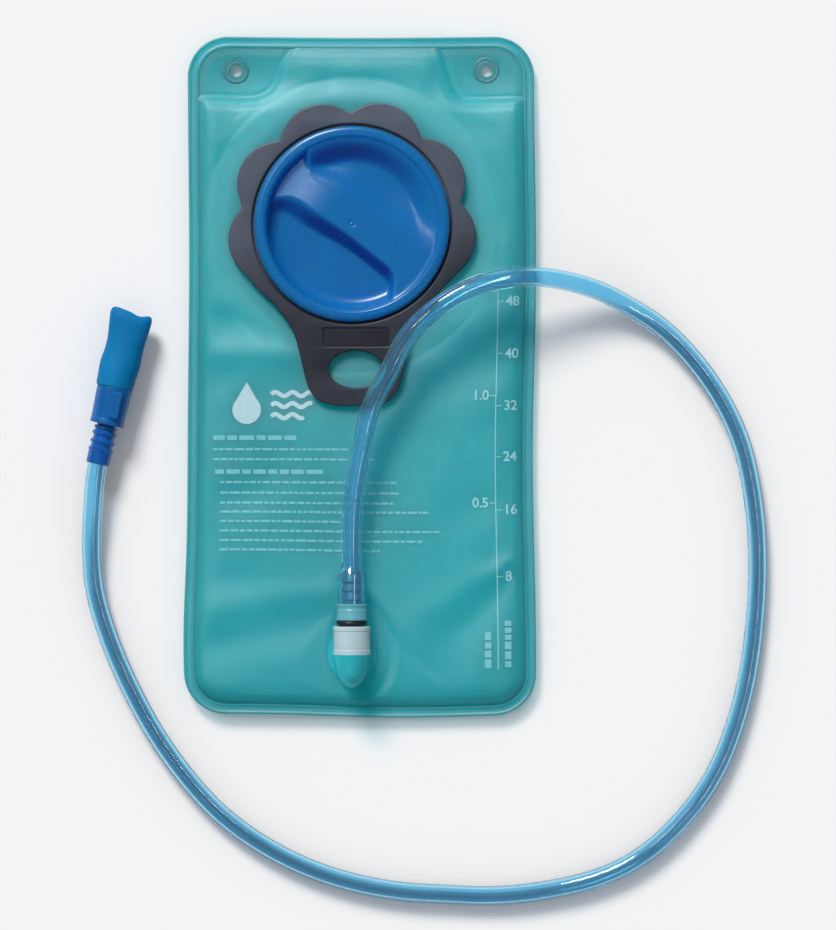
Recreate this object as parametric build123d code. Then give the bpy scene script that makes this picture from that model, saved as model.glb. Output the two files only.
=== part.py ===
from build123d import *
import math
import os

# Hydration bladder lying flat, with its filler port, carrying collar, outlet, drinking tube
# and bite mouthpiece. Millimetres. +Z is up, +Y runs towards the filler cap and the hanging
# holes, and the origin is the centre of the back film's flat rest face.

os.makedirs("parts", exist_ok=True)

# ---------------------------------------------------------------- shared dimensions
OVERSHOOT = 1.0        # how far a cutter runs past the face it opens

# film
FILM_T = 0.5
SEAM_Z = 5.5           # height where the two films meet
TOP_Z = 11.0           # flat top of the front film
RIM_TOP_Z = SEAM_Z + FILM_T

# filler port
CAP_X, CAP_Y = -4.5, 74.1
NECK_R = 47.0
NECK_BORE_R = 44.6

# outlet
OUT_X = -4.5
OUT_Z = 21.0           # height of the outlet axis
INLET_Y = -141.5       # upright passage through the front film
INLET_R = 3.5

# tube and mouthpiece
TUBE_R = 4.8
TUBE_BORE_R = 3.2
MOUTH_X, MOUTH_Y, MOUTH_Z = -128.7, -42.9, 10.6
MOUTH_TILT = 12.85     # degrees from +Y towards +X


# ---------------------------------------------------------------- helpers
def rounded_wire(points, radii, z):
    """Closed wire of lines and corner arcs, starting at the first corner."""
    corners = []
    for i, radius in enumerate(radii):
        corner = Vector(*points[i], z)
        back = (Vector(*points[i - 1], z) - corner).normalized()
        ahead = (Vector(*points[(i + 1) % len(points)], z) - corner).normalized()
        half_angle = math.radians(back.get_angle(ahead)) / 2
        setback = radius / math.tan(half_angle)
        depth = radius / math.sin(half_angle) - radius
        middle = corner + (back + ahead).normalized() * depth
        corners.append((corner + back * setback, middle, corner + ahead * setback))
    edges = []
    for i, arc in enumerate(corners):
        edges.append(Edge.make_three_point_arc(*arc))
        edges.append(Edge.make_line(arc[2], corners[(i + 1) % len(corners)][0]))
    return Wire(edges)


def turned(points, axis):
    """Solid of revolution from a closed outline of (radius, place along the axis)."""
    return revolve(make_face(Polyline(*points, close=True)), axis)


def outlet_turn(points):
    """Turned about the outlet axis, from (radius, y) points."""
    return Pos(OUT_X, 0, OUT_Z) * turned(points, Axis.Y)


def port_turn(points):
    """Turned about the filler port's upright axis, from (radius, z) points."""
    return Pos(CAP_X, CAP_Y, 0) * turned([(r, 0, z) for r, z in points], Axis.Z)


def rod_z(x, y, radius, z_low, z_high):
    return Pos(x, y, z_low) * extrude(Circle(radius), z_high - z_low)


def edges_at(shape, z):
    return [e for e in shape.edges() if abs(e.center().Z - z) < 1e-3]


def solid(shape):
    """The shape as one plain solid, or a compound of its solids."""
    found = shape.solids()
    return found[0] if len(found) == 1 else Compound(children=list(found))


# ---------------------------------------------------------------- film bag
BAG_W = 170.0          # outside the edge weld
BAG_L = 332.0
BAG_R = 20.0
WELD_W = 5.0
DRY_LEFT = (-41.0, 136.5)    # inner corner of the dry patch at -X, +Y
DRY_RIGHT = (39.0, 136.0)    # inner corner of the dry patch at +X, +Y
CHAMBER_RADII = [15, 15, 12, 12, 11, 11, 12, 12]
HANG_X = 61.5          # hanging holes at plus and minus this
HANG_Y = 149.5
HANG_R = 3.0
EYE_R = 6.0            # welded ring round each hanging hole
EYE_T = 0.8
EYE_FILLET = 0.3
PORT_CUT_Z = (5, 15)   # heights spanned by the cutters
HANG_CUT_Z = (4, 8)

# pillow sections: (inset from the chamber outline, fraction of the full rise)
PILLOW_OUTER = [(0, 0.0), (2, 0.40), (5, 0.72), (8.5, 0.92), (12, 1.0)]
PILLOW_INNER = [(0.5, 0.0), (2.4, 0.42), (5.3, 0.73), (8.7, 0.924), (12.1, 1.0)]


def bag_outline(z):
    w, l = BAG_W / 2, BAG_L / 2
    return rounded_wire([(-w, -l), (w, -l), (w, l), (-w, l)], [BAG_R] * 4, z)


def chamber(inset, z):
    """Water chamber outline, moved in: the bag less its weld and dry corners."""
    w, l = BAG_W / 2 - WELD_W - inset, BAG_L / 2 - WELD_W - inset
    left_x, left_y = DRY_LEFT[0] + inset, DRY_LEFT[1] - inset
    right_x, right_y = DRY_RIGHT[0] - inset, DRY_RIGHT[1] - inset
    points = [(-w, -l), (w, -l), (w, right_y), (right_x, right_y),
              (right_x, l), (left_x, l), (left_x, left_y), (-w, left_y)]
    return rounded_wire(points, CHAMBER_RADII, z)


def pillow(sections, base_z, rise):
    """Ruled loft from base_z; a negative rise goes downwards."""
    wires = [chamber(inset, base_z + rise * part) for inset, part in sections]
    return Solid.make_loft(wires, ruled=True)


def film(rim_low_z, base_z, rise):
    """One film: flat rim plus a hollow pillow standing on the rim's outer face."""
    rim = extrude(make_face(bag_outline(rim_low_z)), FILM_T)
    body = rim + pillow(PILLOW_OUTER, base_z, rise)
    return body - pillow(PILLOW_INNER, SEAM_Z, rise)


def cut_hang_holes(panel):
    for x in (-HANG_X, HANG_X):
        panel -= rod_z(x, HANG_Y, HANG_R, *HANG_CUT_Z)
    return panel


def front_panel():
    panel = film(SEAM_Z, RIM_TOP_Z, TOP_Z - RIM_TOP_Z)
    panel -= rod_z(CAP_X, CAP_Y, NECK_R, *PORT_CUT_Z)
    panel -= rod_z(OUT_X, INLET_Y, INLET_R, *PORT_CUT_Z)
    return cut_hang_holes(panel)


def back_panel():
    rim_low_z = SEAM_Z - FILM_T
    return cut_hang_holes(film(rim_low_z, rim_low_z, -rim_low_z))


def hang_rings():
    """A ring welded on the front film round each hanging hole."""
    rings = []
    for x in (-HANG_X, HANG_X):
        ring = Pos(x, HANG_Y, RIM_TOP_Z) * extrude(Circle(EYE_R) - Circle(HANG_R), EYE_T)
        top_edges = ring.edges().filter_by(GeomType.CIRCLE).sort_by(Axis.Z)[-2:]
        rings.append(fillet(top_edges, EYE_FILLET).solids()[0])
    return Compound(children=rings)


# ---------------------------------------------------------------- thread
THREAD_LEAD = 8.0      # right hand
THREAD_STARTS = 2
RIB_HALF_ROOT = 1.0    # half thickness of a rib at its root and tip
RIB_HALF_TIP = 0.5
RIB_SINK = 0.25        # how far a rib's root is buried in the wall
NECK_THREAD_Z = 5.0
NECK_THREAD_SPAN = 325     # degrees
CAP_THREAD_Z = 7.75
CAP_THREAD_SPAN = 110
THREAD_SEAT = 1.75     # cap ribs sit this far below the neck's helix, pulling up against it


def helix_rib(root_r, tip_r, z, start, span):
    """One thread start: a trapezium swept along a right-hand helix."""
    path = Helix(THREAD_LEAD, THREAD_LEAD * span / 360, root_r)
    root = root_r - math.copysign(RIB_SINK, tip_r - root_r)
    profile = make_face(Polyline((root, 0, -RIB_HALF_ROOT), (tip_r, 0, -RIB_HALF_TIP),
                                 (tip_r, 0, RIB_HALF_TIP), (root, 0, RIB_HALF_ROOT), close=True))
    rib = sweep(profile, path=path, is_frenet=True)
    return Pos(CAP_X, CAP_Y, z) * (Rot(0, 0, start) * rib)


# ---------------------------------------------------------------- filler neck
NECK_BOTTOM_Z = 1.5
NECK_TOP_Z = 13.6
NECK_RIB_R = 43.35     # tips of the inward ribs
FLANGE_R = 59.5
FLANGE_T = 1.2


def port_neck():
    flange_top = TOP_Z - FILM_T
    flange_low = flange_top - FLANGE_T
    neck = port_turn([
        (NECK_BORE_R, NECK_BOTTOM_Z), (NECK_R - 0.6, NECK_BOTTOM_Z),
        (NECK_R, NECK_BOTTOM_Z + 0.6), (NECK_R, flange_low), (FLANGE_R, flange_low),
        (FLANGE_R, flange_top), (NECK_R, flange_top), (NECK_R, 13.02), (NECK_R + 0.45, 13.2),
        (NECK_R, NECK_TOP_Z - 0.1), (NECK_R - 0.1, NECK_TOP_Z),
        (NECK_BORE_R + 0.3, NECK_TOP_Z), (NECK_BORE_R, NECK_TOP_Z - 0.5)])
    for i in range(THREAD_STARTS):
        neck += helix_rib(NECK_BORE_R, NECK_RIB_R, NECK_THREAD_Z, i * 360 / THREAD_STARTS,
                          NECK_THREAD_SPAN)
    return neck


# ---------------------------------------------------------------- screw cap
CAP_PLUG_R = 43.0
CAP_RIB_R = 44.3       # tips of the outward ribs
CAP_R = 47.7
CAP_TOP_Z = 17.0
CAP_RIM_Z = 14.1       # underside of the rim
CAP_BOTTOM_Z = 6.4
DISH_R = 41.2
DISH_Z = 8.2           # floor of the finger dish
GROOVE_IN_R = 44.85    # gasket groove under the rim
GROOVE_OUT_R = 46.65
GROOVE_TOP_Z = 15.1
GASKET_GAP = 0.1       # radial gap each side of the gasket

# grip bar across the dish
BAR_ANGLE = 144.0
BAR_TOP_Z = 16.4
BAR_FILLET = 1.6
BAR_FILLET_REACH = 30  # only top edges centred within this radius are rounded
BAR_R, BAR_HOLLOW_R = 41.9, 38.5
# half plan of the bar: (x along the bar, half width)
BAR_SIDE = [(-42, 15.0), (-20, 9.0), (0, 7.2), (20, 9.0), (42, 15.0)]
GATE_R, GATE_DEPTH = 1.6, 0.35       # moulding gate recess on top of the bar
PIP_R = 0.6


def bar_wire(grow, z):
    upper = [Vector(x, half + grow, z) for x, half in BAR_SIDE]
    lower = [Vector(-x, -half - grow, z) for x, half in BAR_SIDE]
    return Wire([Edge.make_spline(upper), Edge.make_line(upper[-1], lower[0]),
                 Edge.make_spline(lower), Edge.make_line(lower[-1], upper[0])])


def bar(grow_low, z_low, grow_high, z_high, radius):
    """Tapered bar about the Z axis, trimmed to a cylinder."""
    body = Solid.make_loft([bar_wire(grow_low, z_low), bar_wire(grow_high, z_high)], ruled=True)
    trim = rod_z(0, 0, radius, z_low - OVERSHOOT, z_high + OVERSHOOT)
    return (Rot(0, 0, BAR_ANGLE) * body) & trim


def screw_cap():
    cap = port_turn([
        (0, CAP_BOTTOM_Z), (38.0, CAP_BOTTOM_Z), (CAP_PLUG_R - 0.8, CAP_BOTTOM_Z + 0.3),
        (CAP_PLUG_R, CAP_BOTTOM_Z + 1.1), (CAP_PLUG_R, CAP_RIM_Z),
        (GROOVE_IN_R, CAP_RIM_Z), (GROOVE_IN_R, GROOVE_TOP_Z),
        (GROOVE_OUT_R, GROOVE_TOP_Z), (GROOVE_OUT_R, CAP_RIM_Z),
        (CAP_R - 0.3, CAP_RIM_Z), (CAP_R, CAP_RIM_Z + 0.3), (CAP_R, 15.6), (CAP_R - 0.25, 16.3),
        (CAP_R - 0.8, 16.75), (CAP_R - 1.6, CAP_TOP_Z), (43.3, CAP_TOP_Z), (42.3, 16.8),
        (41.6, 16.2), (DISH_R, 15.2), (DISH_R - 0.6, 11.6), (DISH_R - 1.8, 9.7),
        (DISH_R - 3.6, 8.6), (DISH_R - 6.0, DISH_Z), (0, DISH_Z)])

    grip = bar(1.6, CAP_BOTTOM_Z + 0.8, 0.0, BAR_TOP_Z, BAR_R)
    top_edges = [e for e in edges_at(grip, BAR_TOP_Z)
                 if math.hypot(e.center().X, e.center().Y) < BAR_FILLET_REACH]
    place = Pos(CAP_X, CAP_Y, 0)
    cap += place * fillet(top_edges, BAR_FILLET)
    # hollow inside the bar, open underneath
    cap -= place * bar(-0.6, CAP_BOTTOM_Z - 0.5, -2.2, BAR_TOP_Z - 2.0, BAR_HOLLOW_R)
    cap -= rod_z(CAP_X, CAP_Y, GATE_R, BAR_TOP_Z - GATE_DEPTH, BAR_TOP_Z + OVERSHOOT)
    cap += rod_z(CAP_X, CAP_Y, PIP_R, BAR_TOP_Z - 0.5, BAR_TOP_Z - 0.05)

    first = (CAP_THREAD_Z + THREAD_SEAT - NECK_THREAD_Z) / THREAD_LEAD * 360
    for i in range(THREAD_STARTS):
        cap += helix_rib(CAP_PLUG_R, CAP_RIB_R, CAP_THREAD_Z, first + i * 360 / THREAD_STARTS,
                         CAP_THREAD_SPAN)
    return cap


def cap_gasket():
    inner, outer = GROOVE_IN_R + GASKET_GAP, GROOVE_OUT_R - GASKET_GAP
    return port_turn([(inner, 13.75), (inner + 0.15, 13.66), (outer - 0.15, 13.66),
                      (outer, 13.75), (outer, 15.04), (inner, 15.04)])


# ---------------------------------------------------------------- collar
COLLAR_TOP_Z = 14.9
COLLAR_DISC_R = 53.0
COLLAR_BORE_R = 47.05
COLLAR_RECESS_R = 48.9
COLLAR_RECESS_Z = 13.0
COLLAR_CHAMFER = 0.5
PETAL_ANGLES = (31.0, 71.0, 111.0, 151.0, 191.0, 351.0)
PETAL_CENTRE_R = 40.0  # petal circle centres from the cap axis
PETAL_R = 21.0
CUSP_RADII = (52.9, 54.5)      # the cusps to round lie between these radii
HANDLE_ANGLES = (205, 337)     # no cusp is rounded between these, where the handle joins
CUSP_FILLET = 3.5
HANDLE_OVAL = (13.25, 9.0)     # half sizes of the oval hole
HANDLE_OVAL_AT = (-2.7, 3.3)
HANDLE_SLOT = (31.5, 8.8)      # shallow rectangular recess in the top face
HANDLE_SLOT_AT = (-2.5, 18.8)
HANDLE_SLOT_DEPTH = 0.5
# edge of the handle: (x, y) from -X round the -Y end to +X
HANDLE_PATH = [
    (-57.5, 51.5), (-50.0, 41.8), (-41.5, 33.6), (-33.2, 21.5), (-28.8, 6.0), (-26.2, -4.5),
    (-21.2, -11.8), (-12.5, -14.4), (-3.6, -14.6), (5.3, -14.4), (14.0, -11.8), (19.0, -4.5),
    (21.6, 6.0), (25.4, 21.5), (32.2, 33.6), (39.5, 42.6), (47.0, 53.5)]


def is_open_cusp(vertex):
    angle = math.degrees(math.atan2(vertex.Y, vertex.X)) % 360
    in_ring = CUSP_RADII[0] < math.hypot(vertex.X, vertex.Y) < CUSP_RADII[1]
    return in_ring and not HANDLE_ANGLES[0] < angle < HANDLE_ANGLES[1]


def handle_collar():
    flower = Circle(COLLAR_DISC_R)
    for degrees in PETAL_ANGLES:
        angle = math.radians(degrees)
        centre = Pos(PETAL_CENTRE_R * math.cos(angle), PETAL_CENTRE_R * math.sin(angle))
        flower += centre * Circle(PETAL_R)
    flower = fillet([v for v in flower.vertices() if is_open_cusp(v)], CUSP_FILLET)
    handle = make_face([Edge.make_spline([Vector(*p) for p in HANDLE_PATH]),
                        Edge.make_line(Vector(*HANDLE_PATH[-1]), Vector(*HANDLE_PATH[0]))])
    outline = Pos(CAP_X, CAP_Y) * flower + handle

    collar = Pos(0, 0, TOP_Z) * extrude(outline, COLLAR_TOP_Z - TOP_Z)
    collar = chamfer(edges_at(collar, COLLAR_TOP_Z), COLLAR_CHAMFER)
    cut_low, cut_high = TOP_Z - OVERSHOOT, COLLAR_TOP_Z + OVERSHOOT
    collar -= rod_z(CAP_X, CAP_Y, COLLAR_BORE_R, cut_low, cut_high)
    collar -= rod_z(CAP_X, CAP_Y, COLLAR_RECESS_R, COLLAR_RECESS_Z, cut_high)
    collar -= Pos(*HANDLE_OVAL_AT, cut_low) * extrude(Ellipse(*HANDLE_OVAL), 6)
    slot = extrude(RectangleRounded(*HANDLE_SLOT, 0.8), 2)
    collar -= Pos(*HANDLE_SLOT_AT, COLLAR_TOP_Z - HANDLE_SLOT_DEPTH) * slot
    return collar


# ---------------------------------------------------------------- outlet
BASE_TIP_Y = -151.7
NOSE_R = 9.3
SOCKET_Y0, SOCKET_Y1 = -135.5, -121.8
SOCKET_R = 9.15
SEAT_R = 3.0
PASSAGE_R = 5.2        # passage along the outlet axis
PASSAGE_END_Y = -146.5
PLUG_BORE_R = 2.4
PLUG_GROOVE_Y = (-121.7, -118.8)     # o-ring groove
BARB_ROOT_R, BARB_TIP_R = 4.2, 5.1
BARB_STARTS = (-109.2, -104.8, -100.4)
POPPET_END_Y = -131.36
POPPET_ARM = (5.6, 1.2, 0.9)
SPRING_Y = -139.95     # +Y end of the coil
SPRING_L = 6.2
SPRING_TURNS = 5
SPRING_R = 3.2
SPRING_WIRE_R = 0.32


def outlet_base():
    """Boat-nosed base welded to the front film, with an elbow passage inside."""
    nose_l = SOCKET_Y0 - BASE_TIP_Y
    nose_plan = (Pos(OUT_X, SOCKET_Y0) * Ellipse(NOSE_R, nose_l)) & \
        (Pos(OUT_X, SOCKET_Y0 - 20) * Rectangle(40, 40))
    pedestal = Pos(0, 0, TOP_Z) * extrude(nose_plan, OUT_Z - TOP_Z)
    arc = [(NOSE_R * math.cos(math.radians(a)), SOCKET_Y0 - nose_l * math.sin(math.radians(a)))
           for a in range(0, 85, 6)]
    crown = outlet_turn([(0, SOCKET_Y0), *arc, (0, BASE_TIP_Y)])
    foot = Pos(OUT_X, -135.4, TOP_Z) * extrude(Ellipse(12.0, 13.3), 1.2)
    base = pedestal + crown + foot
    mouth_y = SOCKET_Y0 + OVERSHOOT
    base -= outlet_turn([(0, mouth_y), (PASSAGE_R, mouth_y), (PASSAGE_R, PASSAGE_END_Y),
                         (0, PASSAGE_END_Y)])
    base -= rod_z(OUT_X, INLET_Y, INLET_R, TOP_Z - OVERSHOOT, OUT_Z)
    # shelf under the socket
    base += Pos(OUT_X, -130.0, TOP_Z + 0.6) * Box(7.0, 12.0, 1.2)
    base -= outlet_turn([(0, -120), (SOCKET_R, -120), (SOCKET_R, SOCKET_Y0), (0, SOCKET_Y0)])
    return base


def outlet_socket():
    return outlet_turn([
        (PASSAGE_R, SOCKET_Y0), (SOCKET_R, SOCKET_Y0), (SOCKET_R, -133.6),
        (SOCKET_R - 0.25, -133.2), (SOCKET_R - 0.25, -124.2), (SOCKET_R, -123.8),
        (SOCKET_R, -122.3), (SOCKET_R - 0.5, SOCKET_Y1), (6.8, SOCKET_Y1), (6.3, -122.4),
        (6.3, -131.5), (SEAT_R, -131.5), (SEAT_R, -134.0), (PASSAGE_R, -134.0)])


def hose_plug():
    low, high = PLUG_GROOVE_Y
    profile = [
        (PLUG_BORE_R, -131.3), (5.5, -131.3), (6.0, -130.7), (6.0, low), (4.75, low),
        (4.75, high), (7.5, high), (7.65, -118.2), (7.4, -115.0), (7.4, -114.0), (7.1, -113.4),
        (7.1, -112.4), (7.4, -111.8), (7.4, -111.2), (7.1, -110.9), (BARB_ROOT_R, -110.9)]
    for y in BARB_STARTS:
        profile += [(BARB_ROOT_R, y), (BARB_TIP_R, y + 0.4), (BARB_TIP_R, y + 0.9),
                    (BARB_ROOT_R, y + 3.6)]
    profile += [(BARB_ROOT_R, -95.2), (3.6, -94.4), (PLUG_BORE_R, -94.4)]
    return outlet_turn(profile)


def outlet_oring():
    return Pos(OUT_X, sum(PLUG_GROOVE_Y) / 2, OUT_Z) * (Rot(90, 0, 0) * Torus(6.15, 1.38))


def poppet():
    body = outlet_turn([(0, -139.55), (4.5, -139.55), (4.5, -137.65), (1.4, -137.65),
                        (1.4, POPPET_END_Y), (0, POPPET_END_Y)])
    # cross arms push against the plug's nose and let water past between them
    arm_place = Pos(OUT_X, POPPET_END_Y - POPPET_ARM[1] / 2, OUT_Z)
    for angle in (0, 90):
        body += arm_place * (Rot(0, angle, 0) * Box(*POPPET_ARM))
    return body


def poppet_seal():
    return outlet_turn([(1.45, -137.6), (4.5, -137.6), (4.5, -137.2), (4.3, -137.05),
                        (1.45, -137.05)])


def poppet_spring():
    coil = Helix(SPRING_L / SPRING_TURNS, SPRING_L, SPRING_R)
    section = Plane(coil @ 0, z_dir=coil % 0) * Circle(SPRING_WIRE_R)
    spring = sweep(section, path=coil, is_frenet=True)
    return Pos(OUT_X, SPRING_Y, OUT_Z) * (Rot(90, 0, 0) * spring)


# ---------------------------------------------------------------- drinking tube
# centreline (x, y, z) from the plug's tail, over the bag, round, and up to the mouthpiece
TUBE_PATH = [
    (OUT_X, -92.0, OUT_Z),
    (-4.5, -86.0, 21.3), (-4.4, -70.3, 22.3), (-3.2, -55.6, 23.8), (-0.2, -38.4, 25.8),
    (3.7, -19.4, 28.0), (8.4, -7.6, 29.3), (15.0, 4.1, 30.8), (19.9, 14.8, 32.0),
    (27.2, 24.1, 32.9), (36.5, 32.4, 33.3), (45.9, 38.8, 33.0), (57.2, 44.0, 31.8),
    (70.4, 47.0, 29.4), (84.0, 48.0, 25.9), (97.2, 46.6, 21.4), (114.8, 42.0, 14.3),
    (130.8, 34.2, 8.3), (145.7, 24.7, 5.4), (158.6, 12.4, 4.85), (169.7, -1.4, 4.85),
    (178.9, -16.5, 4.85), (185.8, -32.8, 4.85), (190.0, -50.0, 4.85), (192.6, -67.5, 4.85),
    (193.8, -85.2, 4.85), (193.7, -102.8, 4.85), (192.5, -120.4, 4.85), (190.4, -137.9, 4.85),
    (187.1, -155.3, 4.85), (182.2, -172.3, 4.85), (175.8, -188.8, 4.85), (167.0, -204.2, 4.85),
    (155.9, -218.0, 4.85), (143.2, -230.3, 4.85), (128.3, -240.1, 4.85), (111.8, -246.7, 4.85),
    (94.6, -250.7, 4.85), (77.1, -253.3, 4.85), (59.4, -254.2, 4.85), (41.7, -253.4, 4.85),
    (24.2, -252.5, 4.85), (6.7, -250.1, 4.85), (-10.5, -246.0, 4.85), (-27.2, -240.1, 4.85),
    (-43.1, -232.3, 4.85), (-58.1, -222.8, 4.85), (-71.7, -211.6, 4.85), (-83.7, -198.5, 4.85),
    (-94.4, -184.4, 4.85), (-103.9, -169.6, 4.85), (-112.2, -154.0, 4.85),
    (-119.6, -138.0, 4.85), (-125.8, -121.4, 4.85), (-130.4, -104.4, 5.2),
    (-131.9, -86.6, 6.4), (-131.4, -69.0, 8.6), (-130.1, -52.5, 10.3),
    (MOUTH_X, MOUTH_Y, MOUTH_Z)]
# flared end over the plug: (y, outside radius, bore radius)
FLARE = [(-110.85, 6.75, 5.25), (-98.5, 6.75, 5.25), (-97.2, 6.7, 5.2), (-96.0, 6.4, 4.9),
         (-94.6, 5.75, 4.2), (-93.3, 5.1, 3.5)]
TUBE_STEPS = 150
TUBE_TAIL = (8, 16)    # straight stations past the start of the mouthpiece


def tube_skin(places, radii):
    """Round skin lofted through sections square to the centreline."""
    wires = []
    for (point, along), radius in zip(places, radii):
        x_dir = (Vector(0, 0, 1) - along * along.Z).normalized()
        wires.append(Wire.make_circle(radius, Plane(point, x_dir=x_dir, z_dir=along)))
    return Solid.make_loft(wires, ruled=True)


def drinking_tube():
    tilt = math.radians(MOUTH_TILT)
    outlet_dir, mouth_dir = Vector(0, 1, 0), Vector(math.sin(tilt), math.cos(tilt), 0)
    centre = Edge.make_spline([Vector(*p) for p in TUBE_PATH], tangents=[outlet_dir, mouth_dir])
    places = [(Vector(OUT_X, y, OUT_Z), outlet_dir) for y, _, _ in FLARE]
    for i in range(TUBE_STEPS + 1):
        part = i / TUBE_STEPS
        places.append((centre.position_at(part), centre.tangent_at(part)))
    places += [(Vector(*TUBE_PATH[-1]) + mouth_dir * d, mouth_dir) for d in TUBE_TAIL]
    plain = len(places) - len(FLARE)
    outside = [outer for _, outer, _ in FLARE] + [TUBE_R] * plain
    bore = [inner for _, _, inner in FLARE] + [TUBE_BORE_R] * plain
    return tube_skin(places, outside) - tube_skin(places, bore)


# ---------------------------------------------------------------- mouthpiece
RELIEF_BORE_R = TUBE_R + 0.05
STEM_BARBS = (3.4, 7.4, 11.4)
PORT_BOX = (1.6, 2.0, 12.0)
PORT_AT = 31.0
# bite sheath ovals: (distance along, half width, half height)
SHEATH = [(38.2, 8.95, 8.7), (44.0, 9.3, 8.5), (50.0, 9.4, 7.9), (57.0, 9.15, 7.0),
          (64.0, 9.6, 6.2), (70.0, 10.2, 5.7), (73.6, 10.4, 5.3), (75.4, 9.8, 4.4)]
HOLLOW = [(46.2, 7.6, 6.9), (50.0, 7.7, 6.3), (57.0, 7.5, 5.3), (64.0, 7.9, 4.4),
          (70.0, 8.4, 3.7), (73.0, 8.2, 3.0)]


def mouth(shape):
    """Places a shape built about the Y axis onto the mouthpiece's axis."""
    return Pos(MOUTH_X, MOUTH_Y, MOUTH_Z) * (Rot(0, 0, -MOUTH_TILT) * shape)


def mouth_turn(points):
    """Turned about the mouthpiece's axis, from (radius, distance along) points."""
    return mouth(turned(points, Axis.Y))


def strain_relief():
    return mouth_turn([
        (RELIEF_BORE_R, 0), (5.5, 0), (5.75, 0.3), (5.75, 6.2), (6.05, 6.5), (6.05, 7.7),
        (5.7, 8.0), (5.3, 8.3), (5.3, 9.9), (5.75, 10.2), (6.05, 10.5), (6.05, 11.6),
        (5.7, 11.9), (5.2, 12.2), (5.2, 14.1), (5.7, 14.4), (6.0, 14.7), (6.0, 15.8),
        (5.6, 16.1), (5.1, 16.4), (5.1, 17.2), (RELIEF_BORE_R, 17.2)])


def valve_stem():
    profile = [(2.0, 3.0), (2.6, 3.0)]
    for s in STEM_BARBS:
        profile += [(2.7, s), (3.15, s + 2.8), (3.15, s + 3.2), (2.7, s + 3.4)]
    profile += [
        (2.7, 16.1), (4.75, 16.1), (4.75, 17.3), (5.6, 17.4), (5.6, 18.6), (4.6, 18.8),
        (4.6, 27.0), (5.7, 27.3), (5.7, 28.2), (4.9, 28.2), (4.9, 30.2), (5.7, 30.2),
        (5.7, 31.2), (3.2, 31.6), (2.6, 31.9), (2.6, 35.2), (2.2, 35.6), (0, 35.6),
        (0, 31.4), (2.0, 31.4)]
    stem = mouth_turn(profile)
    # side ports ahead of the seal
    ports = Pos(0, PORT_AT, 0) * Box(*PORT_BOX)
    stem -= mouth(ports)
    stem -= mouth(Rot(0, 90, 0) * ports)
    return stem


def stem_oring():
    return mouth_turn([(4.96, 28.5), (5.2, 28.28), (5.65, 28.28), (5.86, 28.6), (5.86, 29.8),
                       (5.65, 30.12), (5.2, 30.12), (4.96, 29.9)])


def valve_housing():
    housing = mouth_turn([
        (4.72, 19.7), (7.9, 19.7), (8.3, 20.1), (8.3, 22.0), (8.15, 22.3), (8.45, 30.0),
        (8.7, 37.6), (8.4, 38.1), (6.6, 38.1), (6.6, 40.2), (7.1, 40.8), (7.1, 41.6),
        (6.4, 43.6), (6.1, 46.0), (4.2, 46.0), (4.2, 36.4), (2.7, 36.4), (2.7, 33.6),
        (5.92, 33.0), (5.92, 21.3), (4.72, 21.2)])
    # rounded pad on the +Z side
    pad = Pos(2.6, 29.8, 7.9) * Box(4.6, 13.0, 2.2)
    pad = fillet(pad.edges().filter_by(Axis.Z), 1.0)
    pad = fillet(pad.faces().sort_by(Axis.Z)[-1].edges(), 0.5)
    return housing + mouth(pad)


def oval_loft(sections):
    ovals = [Pos(0, s, 0) * (Rot(90, 0, 0) * Ellipse(half_w, half_h))
             for s, half_w, half_h in sections]
    return mouth(loft(ovals))


def bite_sheath():
    sheath = oval_loft(SHEATH) - oval_loft(HOLLOW)
    # socket for the housing's nose
    sheath -= mouth_turn([(0, 38.0), (6.65, 38.0), (6.65, 40.2), (7.15, 40.8), (7.15, 41.7),
                          (6.45, 43.7), (6.15, 46.3), (0, 46.3)])
    # bite slit
    return sheath - mouth(Pos(0, 74.5, 0) * Box(11.0, 5.0, 0.5))


# ---------------------------------------------------------------- output
# each function's name is its file's name
PIECES = (
    front_panel, back_panel, hang_rings, port_neck, screw_cap, cap_gasket, handle_collar,
    outlet_base, outlet_socket, hose_plug, outlet_oring, poppet, poppet_seal, poppet_spring,
    drinking_tube, strain_relief, valve_stem, stem_oring, valve_housing, bite_sheath)
for piece in PIECES:
    export_step(solid(piece()), f"parts/{piece.__name__}.step")
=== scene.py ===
"""Soft drinking bag with a screw cap, a black collar with a handle, a clear tube and a mouthpiece.

The bag lies on its back on the table, z up, hanging holes towards +y and outlet towards -y. The
tube leaves the outlet, crosses the collar and runs round the right (+x) and the bottom to the
mouthpiece on the left. Lengths are millimetres unless noted; meshes are scaled to metres.
"""
import math
import random
from contextlib import contextmanager

import bpy
import bmesh
import numpy as np
from mathutils import Matrix, Vector


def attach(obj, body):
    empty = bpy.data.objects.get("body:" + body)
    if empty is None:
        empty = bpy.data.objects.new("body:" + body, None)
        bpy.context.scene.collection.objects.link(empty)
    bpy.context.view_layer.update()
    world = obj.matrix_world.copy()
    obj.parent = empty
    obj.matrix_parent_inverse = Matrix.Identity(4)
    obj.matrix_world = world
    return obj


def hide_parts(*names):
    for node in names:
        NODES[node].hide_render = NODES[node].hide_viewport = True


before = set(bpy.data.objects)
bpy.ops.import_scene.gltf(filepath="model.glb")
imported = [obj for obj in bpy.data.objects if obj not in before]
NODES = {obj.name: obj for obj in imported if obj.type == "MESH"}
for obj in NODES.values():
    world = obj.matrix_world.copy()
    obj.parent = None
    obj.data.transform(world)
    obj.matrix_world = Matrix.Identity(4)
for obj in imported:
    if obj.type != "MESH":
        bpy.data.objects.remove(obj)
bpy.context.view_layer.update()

scene = bpy.context.scene
random.seed(7)
MM = 0.001

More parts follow.
